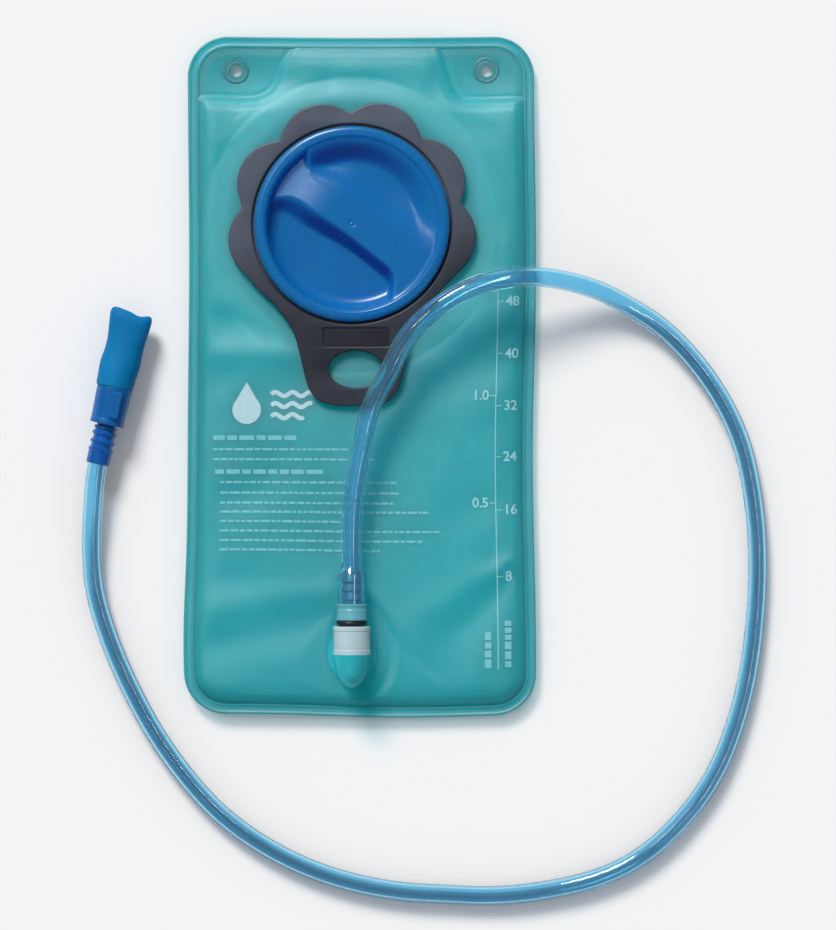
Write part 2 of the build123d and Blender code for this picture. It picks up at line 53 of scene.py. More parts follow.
# ------------------------------------------------------------------ main sizes
BAG_HALF_WIDTH = 85.0
BAG_HALF_LENGTH = 166.0
BAG_CORNER = 20.0
SHEET_INSET = 4.0           # the films start this far inside the bag's edge
SHEET_TRIM = 4.2            # the film meshes stop a little further in, under the edge weld
FILM_THICKNESS = 0.4
PORT_X, PORT_Y = -4.5, 74.1
PORT_HOLE = 47.2
OUTLET_X, OUTLET_Y = -4.5, -136
HANG_HOLES = [(-61.5, 149.5), (61.5, 149.5)]
HANG_HOLE_RADIUS = 3.05
FLAT_FRONT = 10.98          # height of the front film round the port and under the outlet

# x sign, y sign and first angle in degrees of a rectangle's corners, counter-clockwise
CORNERS = ((1, 1, 0), (-1, 1, 90), (-1, -1, 180), (1, -1, 270))


# ------------------------------------------------------------------ numbers and curves
def smoothstep(t):
    t = np.clip(t, 0.0, 1.0)
    return t * t * (3 - 2 * t)


def bell(t):
    """Bell curve: 1 at zero, about a third at one."""
    return np.exp(-t ** 2)


def cubic_taps(f, count):
    """Four neighbours and their Catmull-Rom weights at fractional index f."""
    i = np.clip(np.floor(f).astype(int), 0, count - 2)
    t = f - i
    indices = [np.clip(i + k, 0, count - 1) for k in (-1, 0, 1, 2)]
    weights = [-0.5 * t + t ** 2 - 0.5 * t ** 3,
               1 - 2.5 * t ** 2 + 1.5 * t ** 3,
               0.5 * t + 2 * t ** 2 - 1.5 * t ** 3,
               -0.5 * t ** 2 + 0.5 * t ** 3]
    return list(zip(indices, weights))


def cubic_grid(grid, row, column):
    """Catmull-Rom lookup of a grid at fractional rows and columns."""
    total = 0
    for i, row_weight in cubic_taps(row, grid.shape[0]):
        for j, column_weight in cubic_taps(column, grid.shape[1]):
            total = total + grid[i, j] * row_weight * column_weight
    return total


def cubic_line(points, count):
    """Smooth curve of count points through the given ones."""
    points = np.array(points)
    f = np.linspace(0, len(points) - 1, count)
    return sum(points[i] * weight[:, None] for i, weight in cubic_taps(f, len(points)))


def ellipse(cx, cy, rx, ry, count):
    return [(cx + rx * math.cos(a), cy + ry * math.sin(a))
            for a in np.linspace(0, 2 * math.pi, count, endpoint=False)]


def rounded_rect(cx, cy, width, height, radius):
    points = []
    for sx, sy, start in CORNERS:
        for a in np.linspace(0, 90, 8):
            t = math.radians(start + a)
            points.append((cx + sx * (width / 2 - radius) + radius * math.cos(t),
                           cy + sy * (height / 2 - radius) + radius * math.sin(t)))
    return points


# ------------------------------------------------------------------ mesh helpers
def shade_smooth(mesh, sharp_angle=None):
    mesh.polygons.foreach_set("use_smooth", [True] * len(mesh.polygons))
    if sharp_angle is not None:
        mesh.set_sharp_from_angle(angle=math.radians(sharp_angle))


@contextmanager
def editing(mesh):
    """Opens a mesh as a bmesh and writes it back."""
    bm = bmesh.new()
    bm.from_mesh(mesh)
    yield bm
    bm.to_mesh(mesh)
    bm.free()


def new_mesh(name, points, faces, material=None, smooth=True, sharp_angle=None):
    """Mesh object from points in millimetres."""
    mesh = bpy.data.meshes.new(name)
    mesh.from_pydata([tuple(p) for p in np.asarray(points, float) * MM], [], faces)
    mesh.validate()
    mesh.update()
    ob = bpy.data.objects.new(name, mesh)
    scene.collection.objects.link(ob)
    if smooth:
        shade_smooth(mesh, sharp_angle)
    if material:
        mesh.materials.append(material.data)
    return ob


def loops_mesh(name, loops, material, caps=False, join_ends=False, sharp_angle=None):
    """Quads between successive closed rings of points."""
    n = len(loops[0])
    rows = len(loops)
    points = np.concatenate([np.asarray(loop, float) for loop in loops])
    faces = []
    for i in range(rows if join_ends else rows - 1):
        a, b = i * n, ((i + 1) % rows) * n
        for k in range(n):
            k2 = (k + 1) % n
            faces.append((a + k, a + k2, b + k2, b + k))
    if caps:
        faces.append(tuple(range(n))[::-1])
        faces.append(tuple(range((rows - 1) * n, rows * n)))
    ob = new_mesh(name, points, faces, material, sharp_angle=sharp_angle)
    with editing(ob.data) as bm:
        bmesh.ops.recalc_face_normals(bm, faces=bm.faces)
    return ob


def turned(name, centre, base, profile, count, material, sharp_angle=None):
    """Closed profile of (radius, height above base) turned round an upright axis."""
    loops = [[(x, y, base + height) for x, y in ellipse(*centre, r, r, count)]
             for r, height in profile]
    return loops_mesh(name, loops, material, join_ends=True, sharp_angle=sharp_angle)


def curve_to_mesh(name, curve):
    ob = bpy.data.objects.new(name, curve)
    scene.collection.objects.link(ob)
    bpy.context.view_layer.update()
    graph = bpy.context.evaluated_depsgraph_get()
    mesh = bpy.data.meshes.new_from_object(ob.evaluated_get(graph))
    bpy.data.objects.remove(ob)
    return mesh


def flat_plate(name, outer, holes, bottom, top, bevel, bevel_steps, material):
    """Level plate with holes and rounded edges."""
    curve = bpy.data.curves.new(name, "CURVE")
    curve.dimensions = "2D"
    curve.fill_mode = "BOTH"
    for loop in [outer] + holes:
        spline = curve.splines.new("POLY")
        spline.points.add(len(loop) - 1)
        for point, (x, y) in zip(spline.points, loop):
            point.co = (x * MM, y * MM, 0, 1)
        spline.use_cyclic_u = True
    curve.extrude = ((top - bottom) / 2 - bevel) * MM
    curve.bevel_depth = bevel * MM
    curve.bevel_resolution = bevel_steps
    curve.offset = -bevel * MM
    mesh = curve_to_mesh(name + "_c", curve)
    mesh.name = name
    mesh.transform(Matrix.Translation((0, 0, (bottom + top) / 2 * MM)))
    with editing(mesh) as bm:
        bmesh.ops.remove_doubles(bm, verts=bm.verts, dist=2e-6)
        bmesh.ops.recalc_face_normals(bm, faces=bm.faces)
    ob = bpy.data.objects.new(name, mesh)
    scene.collection.objects.link(ob)
    mesh.materials.clear()
    mesh.materials.append(material.data)
    shade_smooth(mesh, sharp_angle=35)
    return ob


def register(ob, body, node):
    if node:
        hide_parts(node)
    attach(ob, body)
    return ob


# ------------------------------------------------------------------ material helpers
def srgb(*channels):
    """Linear colour from 0-255 sRGB."""
    def linear(c):
        c = c / 255
        return c / 12.92 if c <= 0.04045 else ((c + 0.055) / 1.055) ** 2.4
    return (*(linear(c) for c in channels), 1.0)


def feed(tree, socket, value):
    """Links an output into the socket, or sets a plain value."""
    if hasattr(value, "is_output"):
        tree.links.new(value, socket)
    else:
        socket.default_value = value


def math_node(tree, operation, *values, clamp=False):
    node = tree.nodes.new("ShaderNodeMath")
    node.operation = operation
    node.use_clamp = clamp
    for socket, value in zip(node.inputs, values):
        feed(tree, socket, value)
    return node.outputs[0]


class Material:
    """A node material and short ways to add nodes to it."""

    def __init__(self, name):
        self.data = bpy.data.materials.new(name)
        self.data.use_nodes = True
        self.tree = self.data.node_tree
        self.shader = self.tree.nodes["Principled BSDF"]
        self.output = self.tree.nodes["Material Output"]
        self.place = self.tree.nodes.new("ShaderNodeTexCoord").outputs["Object"]

    def node(self, kind, **inputs):
        node = self.tree.nodes.new(kind)
        for key, value in inputs.items():
            node.inputs[key.replace("_", " ")].default_value = value
        return node

    def link(self, source, socket):
        self.tree.links.new(source, socket)

    def set(self, **inputs):
        for key, value in inputs.items():
            feed(self.tree, self.shader.inputs[key.replace("_", " ")], value)

    def noise(self, scale, detail=3.0, rough=0.5, stretch=None):
        node = self.node("ShaderNodeTexNoise", Scale=scale, Detail=detail, Roughness=rough)
        source = self.place
        if stretch:
            mapping = self.node("ShaderNodeMapping", Scale=stretch)
            self.link(source, mapping.inputs["Vector"])
            source = mapping.outputs["Vector"]
        self.link(source, node.inputs["Vector"])
        return node.outputs["Fac"]

    def ramp(self, factor, *stops):
        """Colour ramp; a stop is (position, grey value or colour)."""
        node = self.tree.nodes.new("ShaderNodeValToRGB")
        elements = node.color_ramp.elements
        while len(elements) < len(stops):
            elements.new(0.5)
        for element, (position, colour) in zip(elements, stops):
            if not isinstance(colour, tuple):
                colour = (colour,) * 3
            element.position = position
            element.color = colour if len(colour) == 4 else (*colour, 1)
        self.link(factor, node.inputs["Fac"])
        return node.outputs["Color"]

    def mix(self, factor, first, second, blend="MIX"):
        node = self.tree.nodes.new("ShaderNodeMix")
        node.data_type = "RGBA"
        node.blend_type = blend
        for i, value in ((0, factor), (6, first), (7, second)):     # the colour sockets
            feed(self.tree, node.inputs[i], value)
        return node.outputs[2]

    def math(self, operation, *values):
        return math_node(self.tree, operation, *values)

    def vector_math(self, operation, source, other=None, output="Value"):
        node = self.tree.nodes.new("ShaderNodeVectorMath")
        node.operation = operation
        self.link(source, node.inputs[0])
        if other:
            node.inputs[1].default_value = other
        return node.outputs[output]

    def bump(self, height, strength, distance, normal=None):
        node = self.node("ShaderNodeBump", Strength=strength, Distance=distance)
        self.link(height, node.inputs["Height"])
        if normal:
            self.link(normal, node.inputs["Normal"])
        return node.outputs["Normal"]

    def recolour(self, factor, colour, blend="MIX"):
        """Mixes a colour over the base colour."""
        base = self.shader.inputs["Base Color"].links[0].from_socket
        self.set(Base_Color=self.mix(factor, base, colour, blend))

    def glow(self, weight, radius, scale):
        """Light spreads sideways inside the plastic before it comes out."""
        self.shader.subsurface_method = "BURLEY"
        self.set(Subsurface_Weight=weight, Subsurface_Radius=radius, Subsurface_Scale=scale)
        return self

    def clear(self, seen, shadow, tint):
        """Clear by `seen` to the eye and by `shadow` to the lamps, so what lies under stays lit."""
        path = self.node("ShaderNodeLightPath")
        amount = self.math("MULTIPLY_ADD", path.outputs["Is Shadow Ray"], shadow - seen, seen)
        transparent = self.node("ShaderNodeBsdfTransparent", Color=(*tint, 1))
        mix = self.node("ShaderNodeMixShader")
        self.link(amount, mix.inputs[0])
        self.link(self.shader.outputs[0], mix.inputs[1])
        self.link(transparent.outputs[0], mix.inputs[2])
        self.link(mix.outputs[0], self.output.inputs["Surface"])
        return self


def plastic(name, light, dark=None, rough=0.4, grain=900.0, bump=0.06, spec=0.5, coat=0.0,
            mottle=90.0):
    """Moulded plastic or rubber: mottled colour, uneven roughness and a fine moulded grain.

    mottle and grain are the noise scales of the colour patches and of the grain."""
    m = Material(name)
    patches = m.noise(mottle, detail=3)
    fine = m.noise(grain, detail=4, rough=0.6)
    dark = dark or tuple(c * 0.82 for c in light[:3]) + (1,)
    m.set(Base_Color=m.ramp(patches, (0.3, dark), (0.7, light)))
    m.set(Roughness=m.ramp(fine, (0.25, rough * 0.8), (0.75, min(1, rough * 1.2))))
    m.set(Normal=m.bump(fine, strength=bump, distance=0.0004), Specular_IOR_Level=spec)
    if coat:
        m.set(Coat_Weight=coat, Coat_Roughness=0.12)
    return m


def film_material(name, light, dark, clear, painted_sheen=None):
    """Soft translucent film with a fine matt grain; the optional band colour is a painted sheen, a
    paler ring round the port.
    """
    m = Material(name)
    broad = m.noise(11, detail=4, rough=0.55)
    middle = m.noise(60, detail=4, rough=0.6)
    fine = m.noise(1500, detail=3, rough=0.6)
    colour = m.ramp(broad, (0.32, dark), (0.68, light))
    colour = m.mix(0.15, colour, m.ramp(middle, (0.35, dark), (0.65, light)))
    if painted_sheen:
        # distance from the port's centre in metres picks out the band of painted sheen
        centre = (PORT_X * MM, PORT_Y * MM, 0.010)
        offset = m.vector_math("SUBTRACT", m.place, centre, output="Vector")
        distance = m.vector_math("LENGTH", offset)
        band = m.ramp(distance, (0.0590, 0), (0.0618, 1), (0.0700, 1), (0.0725, 0))
        colour = m.mix(m.math("MULTIPLY", band, 0.5), colour, painted_sheen)
    m.set(Base_Color=colour, Roughness=m.ramp(middle, (0.3, 0.56), (0.7, 0.64)))
    grain = m.bump(fine, strength=0.06, distance=0.0002)
    m.set(Normal=m.bump(middle, strength=0.05, distance=0.0012, normal=grain),
          Specular_IOR_Level=1.0, IOR=1.65)
    m.glow(weight=0.95, radius=(0.04, 1.0, 1.0), scale=0.030)
    return m.clear(seen=clear, shadow=0.76, tint=(0.74, 0.90, 0.93))


def cap_material():
    """Blue with painted shade: it deepens where the mesh attribute "wall" marks the walls turned away
    from the key light.
    """
    m = plastic("cap_blue", srgb(14, 100, 164), srgb(10, 94, 158), rough=0.27, bump=0.004,
                mottle=25)
    m.glow(weight=0.8, radius=(0.01, 0.10, 1.0), scale=0.012)
    # painted shade: up to 70 % deep blue on the walls that "wall" marks as turned from the key light
    wall = m.node("ShaderNodeAttribute")
    wall.attribute_name = "wall"
    m.recolour(m.math("MULTIPLY", wall.outputs["Fac"], 0.70), srgb(20, 44, 138))
    return m


def collar_material():
    """Black plastic with painted light and shade: its colour is multiplied by a ramp running up the
    collar, darker round the handle and lighter towards the top and upper left.
    """
    m = plastic("collar_black", srgb(60, 62, 72), srgb(50, 51, 61), rough=0.42, grain=1300,
                bump=0.10, spec=0.45, mottle=40)
    # painted light and shade: metres along the direction from the object's origin, and the
    # multiplying colour there
    stops = [(-0.012, (0.86, 0.98, 1.06)), (0.010, (0.50, 0.57, 0.62)),
             (0.035, (0.55, 0.62, 0.68)), (0.075, (1.55, 1.75, 1.82)),
             (0.130, (1.75, 2.05, 2.10))]
    far = max(abs(position) for position, _ in stops)
    along = m.vector_math("DOT_PRODUCT", m.place, (-0.22, 0.97, 0.0))
    fitted = m.math("MULTIPLY_ADD", along, 0.5 / far, 0.5)
    painted_light_and_shade = m.ramp(fitted, *[(0.5 + 0.5 * p / far, colour) for p, colour in stops])
    m.recolour(1.0, painted_light_and_shade, "MULTIPLY")
    return m


def steel_material():
    """Metal with a brushed look across y."""
    m = Material("spring_steel")
    brushed = m.noise(400, detail=2, rough=0.5, stretch=(1, 40, 1))
    m.set(Base_Color=m.ramp(brushed, (0.3, (0.42, 0.42, 0.44)), (0.7, (0.62, 0.62, 0.64))),
          Metallic=1.0, Roughness=0.28)
    return m


def tube_material(name, light, dark, rough):
    """Clear blue that really bends light, with the lamps let through."""
    m = Material(name)
    patches = m.noise(45, detail=3, rough=0.5)
    m.set(Base_Color=m.ramp(patches, (0.3, (*dark, 1)), (0.7, (*light, 1))))
    fine = m.noise(600, detail=3)
    m.set(Normal=m.bump(fine, strength=0.02, distance=0.0002), Transmission_Weight=0.96,
          Roughness=rough, IOR=1.42, Specular_IOR_Level=0.5)
    return m.clear(seen=0.0, shadow=0.69, tint=(0.80, 0.91, 1.0))


def ink_material(name, light, dark):
    return plastic(name, light, dark, rough=0.6, grain=2500, bump=0.05, spec=0.2, mottle=600)


# ------------------------------------------------------------------ materials
# the front film's paler ring round the port is a painted sheen
FILM = film_material("film_front", srgb(2, 156, 164), srgb(0, 149, 158), clear=0.03,
                     painted_sheen=srgb(58, 171, 179))
BACK_FILM = film_material("film_back", srgb(6, 156, 166), srgb(2, 149, 160), clear=0.03)
WELD = film_material("film_weld", srgb(40, 163, 172), srgb(28, 156, 165), clear=0.05)
CAP = cap_material()
COLLAR = collar_material()
PANEL = plastic("collar_panel", srgb(34, 35, 46), srgb(28, 29, 39), rough=0.60, grain=1500,
                bump=0.2, spec=0.3)
GASKET = plastic("gasket_silicone", srgb(206, 214, 216), rough=0.5, grain=800, bump=0.05, spec=0.4)
PORT = plastic("port_teal", srgb(52, 150, 160), srgb(42, 140, 150), rough=0.35, grain=700,
               bump=0.05).clear(seen=0.12, shadow=0.4, tint=(0.5, 0.8, 0.85))
OUTLET = plastic("outlet_teal", srgb(58, 188, 198), srgb(46, 180, 190), rough=0.30, grain=700,
                 bump=0.03).clear(seen=0.40, shadow=0.92, tint=(0.55, 0.95, 0.97))
SOCKET = plastic("socket_milky", srgb(182, 202, 208), srgb(170, 193, 200), rough=0.34, grain=600,
                 bump=0.03).clear(seen=0.14, shadow=0.75, tint=(0.75, 0.95, 0.97))
PLUG = plastic("plug_frosted", srgb(112, 184, 196), srgb(100, 174, 187), rough=0.36, grain=800,
               bump=0.06).clear(seen=0.28, shadow=0.8, tint=(0.65, 0.95, 0.98))
RUBBER = plastic("seal_black", srgb(30, 32, 36), srgb(22, 24, 28), rough=0.45, bump=0.08, spec=0.4)
POPPET = plastic("poppet_white", srgb(214, 218, 216), rough=0.4, grain=800, bump=0.04)
BOOT = plastic("boot_blue", srgb(12, 82, 156), srgb(6, 70, 142), rough=0.26, bump=0.03,
               coat=0.1).glow(weight=0.5, radius=(0.02, 0.3, 1.0), scale=0.005)
VALVE = plastic("valve_blue", srgb(8, 90, 154), srgb(4, 80, 144), rough=0.34, bump=0.03,
                spec=0.35).glow(weight=0.5, radius=(0.02, 0.3, 1.0), scale=0.005)
BITE = plastic("bite_silicone", srgb(0, 110, 162), srgb(0, 99, 152), rough=0.55, grain=700,
               bump=0.03, spec=0.12, mottle=60)
BITE.glow(weight=0.6, radius=(0.01, 0.6, 1.0), scale=0.007)
INK = ink_material("print_ink", srgb(150, 205, 213), srgb(138, 198, 207))
FINE_INK = ink_material("print_ink_fine", srgb(122, 192, 200), srgb(104, 182, 191))
PALE_INK = ink_material("print_ink_pale", srgb(178, 208, 216), srgb(166, 200, 209))
STEEL = steel_material()
TUBE = tube_material("tube_clear_blue", light=(0.44, 0.81, 1.0), dark=(0.39, 0.78, 1.0), rough=0.05)
BORE = tube_material("tube_bore_blue", light=(0.46, 0.83, 1.0), dark=(0.41, 0.80, 1.0), rough=0.06)


# ------------------------------------------------------------------ shape of the bag
EDGE_STEP = 2.0     # spacing of the points along the straight edges


def bag_outline(inset):
    """Points of the bag's edge moved in by inset."""
    w, l, r = BAG_HALF_WIDTH, BAG_HALF_LENGTH, BAG_CORNER
    arcs = []       # corner centre and outward direction
    for sx, sy, start in CORNERS:
        for a in range(0, 91, 5):
            t = math.radians(start + a)
            arcs.append((sx * (w - r), sy * (l - r), math.cos(t), math.sin(t)))
    points = []
    for i, (cx, cy, nx, ny) in enumerate(arcs):
        next_cx, next_cy, next_nx, next_ny = arcs[(i + 1) % len(arcs)]
        x, y = cx + r * nx, cy + r * ny
        next_x, next_y = next_cx + r * next_nx, next_cy + r * next_ny
        gap = math.hypot(next_x - x, next_y - y)
        steps = max(1, int(gap / EDGE_STEP)) if gap > 4 else 1
        for j in range(steps):
            f = j / steps
            out_x, out_y = nx * (1 - f) + next_nx * f, ny * (1 - f) + next_ny * f
            size = math.hypot(out_x, out_y)
            points.append((x + (next_x - x) * f - out_x / size * inset,
                           y + (next_y - y) * f - out_y / size * inset))
    return np.array(points)


def edge_distance(x, y):
    """How far inside the bag's outline a point is."""
    qx = np.abs(x) - (BAG_HALF_WIDTH - BAG_CORNER)
    qy = np.abs(y) - (BAG_HALF_LENGTH - BAG_CORNER)
    outside = np.hypot(np.maximum(qx, 0), np.maximum(qy, 0))
    return BAG_CORNER - (outside + np.minimum(np.maximum(qx, qy), 0))


def film_half_width(y, inset):
    over = np.maximum(np.abs(y) - (BAG_HALF_LENGTH - BAG_CORNER), 0)
    r = BAG_CORNER - inset
    return BAG_HALF_WIDTH - BAG_CORNER + np.sqrt(np.maximum(r * r - over * over, 0))


# Welds that close off the two dry corners, from the top weld round to the side weld: x, y
LEFT_SEAM = [
    (-28.665, 168.315), (-32.095, 162.925), (-35.77, 158.515), (-38.955, 154.35),
    (-40.327, 151.165), (-41.013, 147.735), (-42.385, 143.815), (-45.325, 140.14),
    (-49.735, 137.641), (-55.125, 136.661), (-60.515, 136.514), (-66.885, 136.71),
    (-74.235, 136.955), (-81.585, 137.151), (-89.915, 137.347)]
RIGHT_SEAM = [
    (34.545, 168.315), (37.73, 162.925), (40.425, 157.045), (42.189, 151.165),
    (43.267, 147.245), (44.443, 143.325), (46.599, 139.405), (49.539, 137.053),
    (53.165, 136.122), (58.065, 135.975), (65.415, 136.073), (72.765, 136.171),
    (80.605, 136.269), (89.915, 136.367)]
SEAMS = [(-1, cubic_line(LEFT_SEAM, 70)), (1, cubic_line(RIGHT_SEAM, 70))]


def patch_distance(x, y):
    """Distance into the nearer dry corner; negative outside it."""
    x, y = np.asarray(x, float), np.asarray(y, float)
    deepest = None
    for side, line in SEAMS:
        nearest = np.full(x.shape, 1e9)
        sign = np.zeros(x.shape)
        for (ax, ay), (bx, by) in zip(line[:-1], line[1:]):
            dx, dy = bx - ax, by - ay
            t = np.clip(((x - ax) * dx + (y - ay) * dy) / (dx * dx + dy * dy), 0, 1)
            distance = np.hypot(x - ax - t * dx, y - ay - t * dy)
            nearer = distance < nearest
            nearest = np.where(nearer, distance, nearest)
            sign = np.where(nearer, np.sign(dx * (y - ay) - dy * (x - ax)), sign)
        depth = nearest * sign * side
        deepest = depth if deepest is None else np.maximum(deepest, depth)
    return deepest


def warp(x, y):
    """Sideways lie of the film: the lower left edge bows out, the right edge waves a little."""
    left = smoothstep(-x / BAG_HALF_WIDTH)
    right = smoothstep(x / BAG_HALF_WIDTH)
    low = smoothstep(-y / BAG_HALF_LENGTH)
    high = smoothstep(y / BAG_HALF_LENGTH)
    dx = -2.0 * left * bell((y + 130) / 40) + 0.8 * left * bell((y - 60) / 60)
    dx = dx - 0.7 * right * bell((y + 30) / 50) + 0.5 * right * np.sin(y / 31.0)
    dy = -0.9 * low * np.sin((x + 20) / 26.0) - 0.5 * high * np.cos(x / 33.0)
    return x + dx, y + dy


def rim_lift(x, y):
    """Slow rise and fall of the welded edge: three waves, longest first."""
    return (0.6 * np.sin(x / 23.0 + 1.2) * np.cos(y / 37.0)
            + 0.35 * np.sin(y / 17.0 + x / 40.0)
            + 0.12 * np.sin(x / 9.0 - y / 13.0))


def corner_sag(x, y):
    """The dry corners lie down nearly onto the table."""
    depth, width, length = 3.5, 25.0, 22.0
    z = 0
    for hole_x, hole_y in HANG_HOLES:
        z = z - depth * np.exp(-(((x - hole_x) / width) ** 2 + ((y - hole_y) / length) ** 2))
    return z


# ------------------------------------------------------------------ cloth simulation
SIM_COLUMNS, SIM_ROWS = 56, 110
SIM_SCALE = 0.01        # ten times real size: 1 mm is 0.01
SIM_FRAMES = 22
# a nearly empty bag: stiff film, 0.6 % slack, blown up a little, without gravity
CLOTH = dict(
    quality=6, mass=0.4, tension_stiffness=60, compression_stiffness=60, shear_stiffness=30,
    bending_stiffness=12, tension_damping=20, compression_damping=20, shear_damping=20,
    bending_damping=1.0, air_damping=6, vertex_group_mass="pin", shrink_min=-0.006,
    shrink_max=-0.006, use_pressure=True, uniform_pressure_force=0.35)


def film_grid(columns, rows, inset):
    """Grid fitted to the rounded outline, moved in by inset; rows run from -1 to 1."""
    y = rows * (BAG_HALF_LENGTH - inset)
    u = np.linspace(-1, 1, columns + 1)
    return u[None, :] * film_half_width(y, inset)[:, None], np.repeat(y[:, None], columns + 1, axis=1)


def back_at_rest(inside):
    """Height of the back sheet by distance in from its edge."""
    return 5.0 - 4.6 * smoothstep(inside / 13.0)


def simulate(x, y, inside):
    """Two welded sheets held at the weld, dry corners, port and outlet; gives both heights."""
    patch = patch_distance(x, y)
    port = np.hypot(x - PORT_X, y - PORT_Y) < 60
    outlet = (np.abs(x - OUTLET_X) < 11) & (np.abs(y - OUTLET_Y) < 13)
    front = np.where(patch > 0, 6.0, 6.0 + 5.0 * smoothstep(inside / 8.0))
    front = np.where(port, 10.8, front)
    back = np.where(patch > 0, 5.0, back_at_rest(inside))
    points = SIM_SCALE * np.concatenate(
        [np.stack([x, y, z], -1).reshape(-1, 3) for z in (front, back)])
    row = SIM_COLUMNS + 1
    n = row * (SIM_ROWS + 1)
    faces = []
    for j in range(SIM_ROWS):
        for i in range(SIM_COLUMNS):
            a = j * row + i
            faces.append((a, a + 1, a + 1 + row, a + row))
            faces.append((n + a, n + a + row, n + a + 1 + row, n + a + 1))
    ring = (list(range(SIM_COLUMNS))
            + [j * row + SIM_COLUMNS for j in range(SIM_ROWS)]
            + [SIM_ROWS * row + i for i in range(SIM_COLUMNS, 0, -1)]
            + [j * row for j in range(SIM_ROWS, 0, -1)])
    for k, a in enumerate(ring):
        b = ring[(k + 1) % len(ring)]
        faces.append((b, a, n + a, n + b))
    mesh = bpy.data.meshes.new("sim")
    mesh.from_pydata([tuple(p) for p in points], [], faces)
    ob = bpy.data.objects.new("sim", mesh)
    scene.collection.objects.link(ob)

    held = (inside < 1.2) | (patch > -1.5)
    group = ob.vertex_groups.new(name="pin")
    front_held = np.flatnonzero((held | port | outlet).ravel())
    back_held = np.flatnonzero((held | (inside > 30)).ravel()) + n
    for indices in (front_held, back_held):
        group.add([int(i) for i in indices], 1.0, "REPLACE")
    cloth = ob.modifiers.new("Cloth", "CLOTH")
    for key, value in CLOTH.items():
        setattr(cloth.settings, key, value)
    cloth.settings.effector_weights.gravity = 0
    cloth.collision_settings.use_collision = False
    cloth.collision_settings.use_self_collision = False
    cloth.point_cache.frame_start = 1
    cloth.point_cache.frame_end = SIM_FRAMES
    for f in range(1, SIM_FRAMES + 1):
        scene.frame_set(f)
    evaluated = ob.evaluated_get(bpy.context.evaluated_depsgraph_get())
    co = np.empty(len(points) * 3)
    evaluated.data.vertices.foreach_get("co", co)
    z = co.reshape(-1, 3)[:, 2] / SIM_SCALE
    scene.frame_set(1)
    bpy.data.objects.remove(ob)
    return z[:n].reshape(x.shape), z[n:].reshape(x.shape)


def soften(z, times):
    for _ in range(times):
        p = np.pad(z, 1, mode="edge")
        z = (p[:-2, 1:-1] + p[2:, 1:-1] + p[1:-1, :-2] + p[1:-1, 2:] + 2 * z) / 6
    return z


def film_heights():
    """Wrinkles of the front sheet and height of the back one, on the simulation's grid."""
    x, y = film_grid(SIM_COLUMNS, np.linspace(-1, 1, SIM_ROWS + 1), SHEET_INSET)
    inside = edge_distance(x, y) - SHEET_INSET
    front, back = simulate(x, y, inside)
    # the bag is all but empty, so only the wrinkles are kept, not the pillow shape
    return np.clip(soften(front, 3) - soften(front, 60), -1.2, 1.2), back


WRINKLES, BACK_HEIGHTS = film_heights()


def sim_lookup(grid, x, y):
    length = BAG_HALF_LENGTH - SHEET_INSET
    y = np.clip(y, -length, length)
    u = np.clip(x / film_half_width(y, SHEET_INSET), -1, 1)
    return cubic_grid(grid, (y / length + 1) / 2 * SIM_ROWS, (u + 1) / 2 * SIM_COLUMNS)


# ------------------------------------------------------------------ heights of the films
# Soft folds of the front film, ridges or (negative height) valleys:
# start x, y, end x, y, width at start and end, height at start and end, fade beyond the ends
FOLDS = [
    # from the left edge to the handle
    (-81.095, 26.705, -35.035, 29.645, 6.5, 7.5, -0.75, -0.75, 0.25),
    (-83.055, 11.025, -34.055, 12.005, 6.0, 7.0, 0.9, 0.9, 0.25),
    (-81.095, -7.595, -30.135, -6.615, 9.0, 9.0, -0.35, -0.35, 0.25),
    # the long fold across the lower left
    (-84.035, -117.355, -15.435, -104.615, 9.0, 7.0, 1.15, 1.0, 0.12),
    (-84.035, -134.995, -15.435, -121.275, 9.0, 8.0, -0.95, -0.7, 0.12),
    (-71.785, -153.615, -30.135, -138.915, 8.0, 8.0, 0.35, 0.35, 0.25),
    # the fold that is sharp at the right edge and opens out inwards
    (18.865, -123.235, 80.605, -85.505, 12.0, 2.4, 1.25, 0.75, 0.06),
    (34.545, -142.835, 81.585, -90.405, 12.0, 2.2, -0.95, -0.6, 0.06),
    (48.265, -153.615, 77.665, -129.115, 10.0, 8.0, 0.4, 0.4, 0.25),
    # quiet unevenness elsewhere
    (33.565, -21.315, 53.165, -89.915, 26.0, 26.0, 0.5, 0.5, 0.25),
    (-76.685, 110.985, -71.785, 57.085, 9.0, 9.0, 0.35, 0.35, 0.25),
    (-63.455, 125.685, -71.295, 91.385, 6.0, 6.0, -0.25, -0.25, 0.25),
    (-20.335, 152.145, 28.665, 148.225, 8.0, 8.0, 0.3, 0.3, 0.25),
    (73.745, 125.685, 70.315, 71.785, 8.0, 8.0, -0.3, -0.3, 0.25),
    (-30.135, -89.915, -10.535, -45.815, 12.0, 12.0, 0.3, 0.3, 0.25)]


def fold(x, y, start_x, start_y, end_x, end_y, width, end_width, height, end_height, fade):
    """One fold; width and height change evenly along it."""
    dx, dy = end_x - start_x, end_y - start_y
    length = math.hypot(dx, dy)
    along = ((x - start_x) * dx + (y - start_y) * dy) / length ** 2
    across = (-(x - start_x) * dy + (y - start_y) * dx) / length
    t = np.clip(along, 0, 1)
    ends = smoothstep((along + fade) / fade) * smoothstep((1 + fade - along) / fade)
    profile = bell(across / (width + (end_width - width) * t))
    return (height + (end_height - height) * t) * profile * ends


def creases(x, y):
    ripple = 0.10 * np.sin(x / 11.0 + y / 17.0) * np.cos(y / 23.0 - x / 31.0)
    return sum(fold(x, y, *row) for row in FOLDS) + ripple


def pad_groove(x, y):
    """Pressed line, with a soft ridge outside it, round the oval pad that carries the outlet."""
    e = np.hypot((x - 0.6) / 14.2, (y + 133.6) / 22.8)
    return -0.62 * bell((e - 1.0) / 0.12) + 0.30 * bell((e - 1.24) / 0.13)


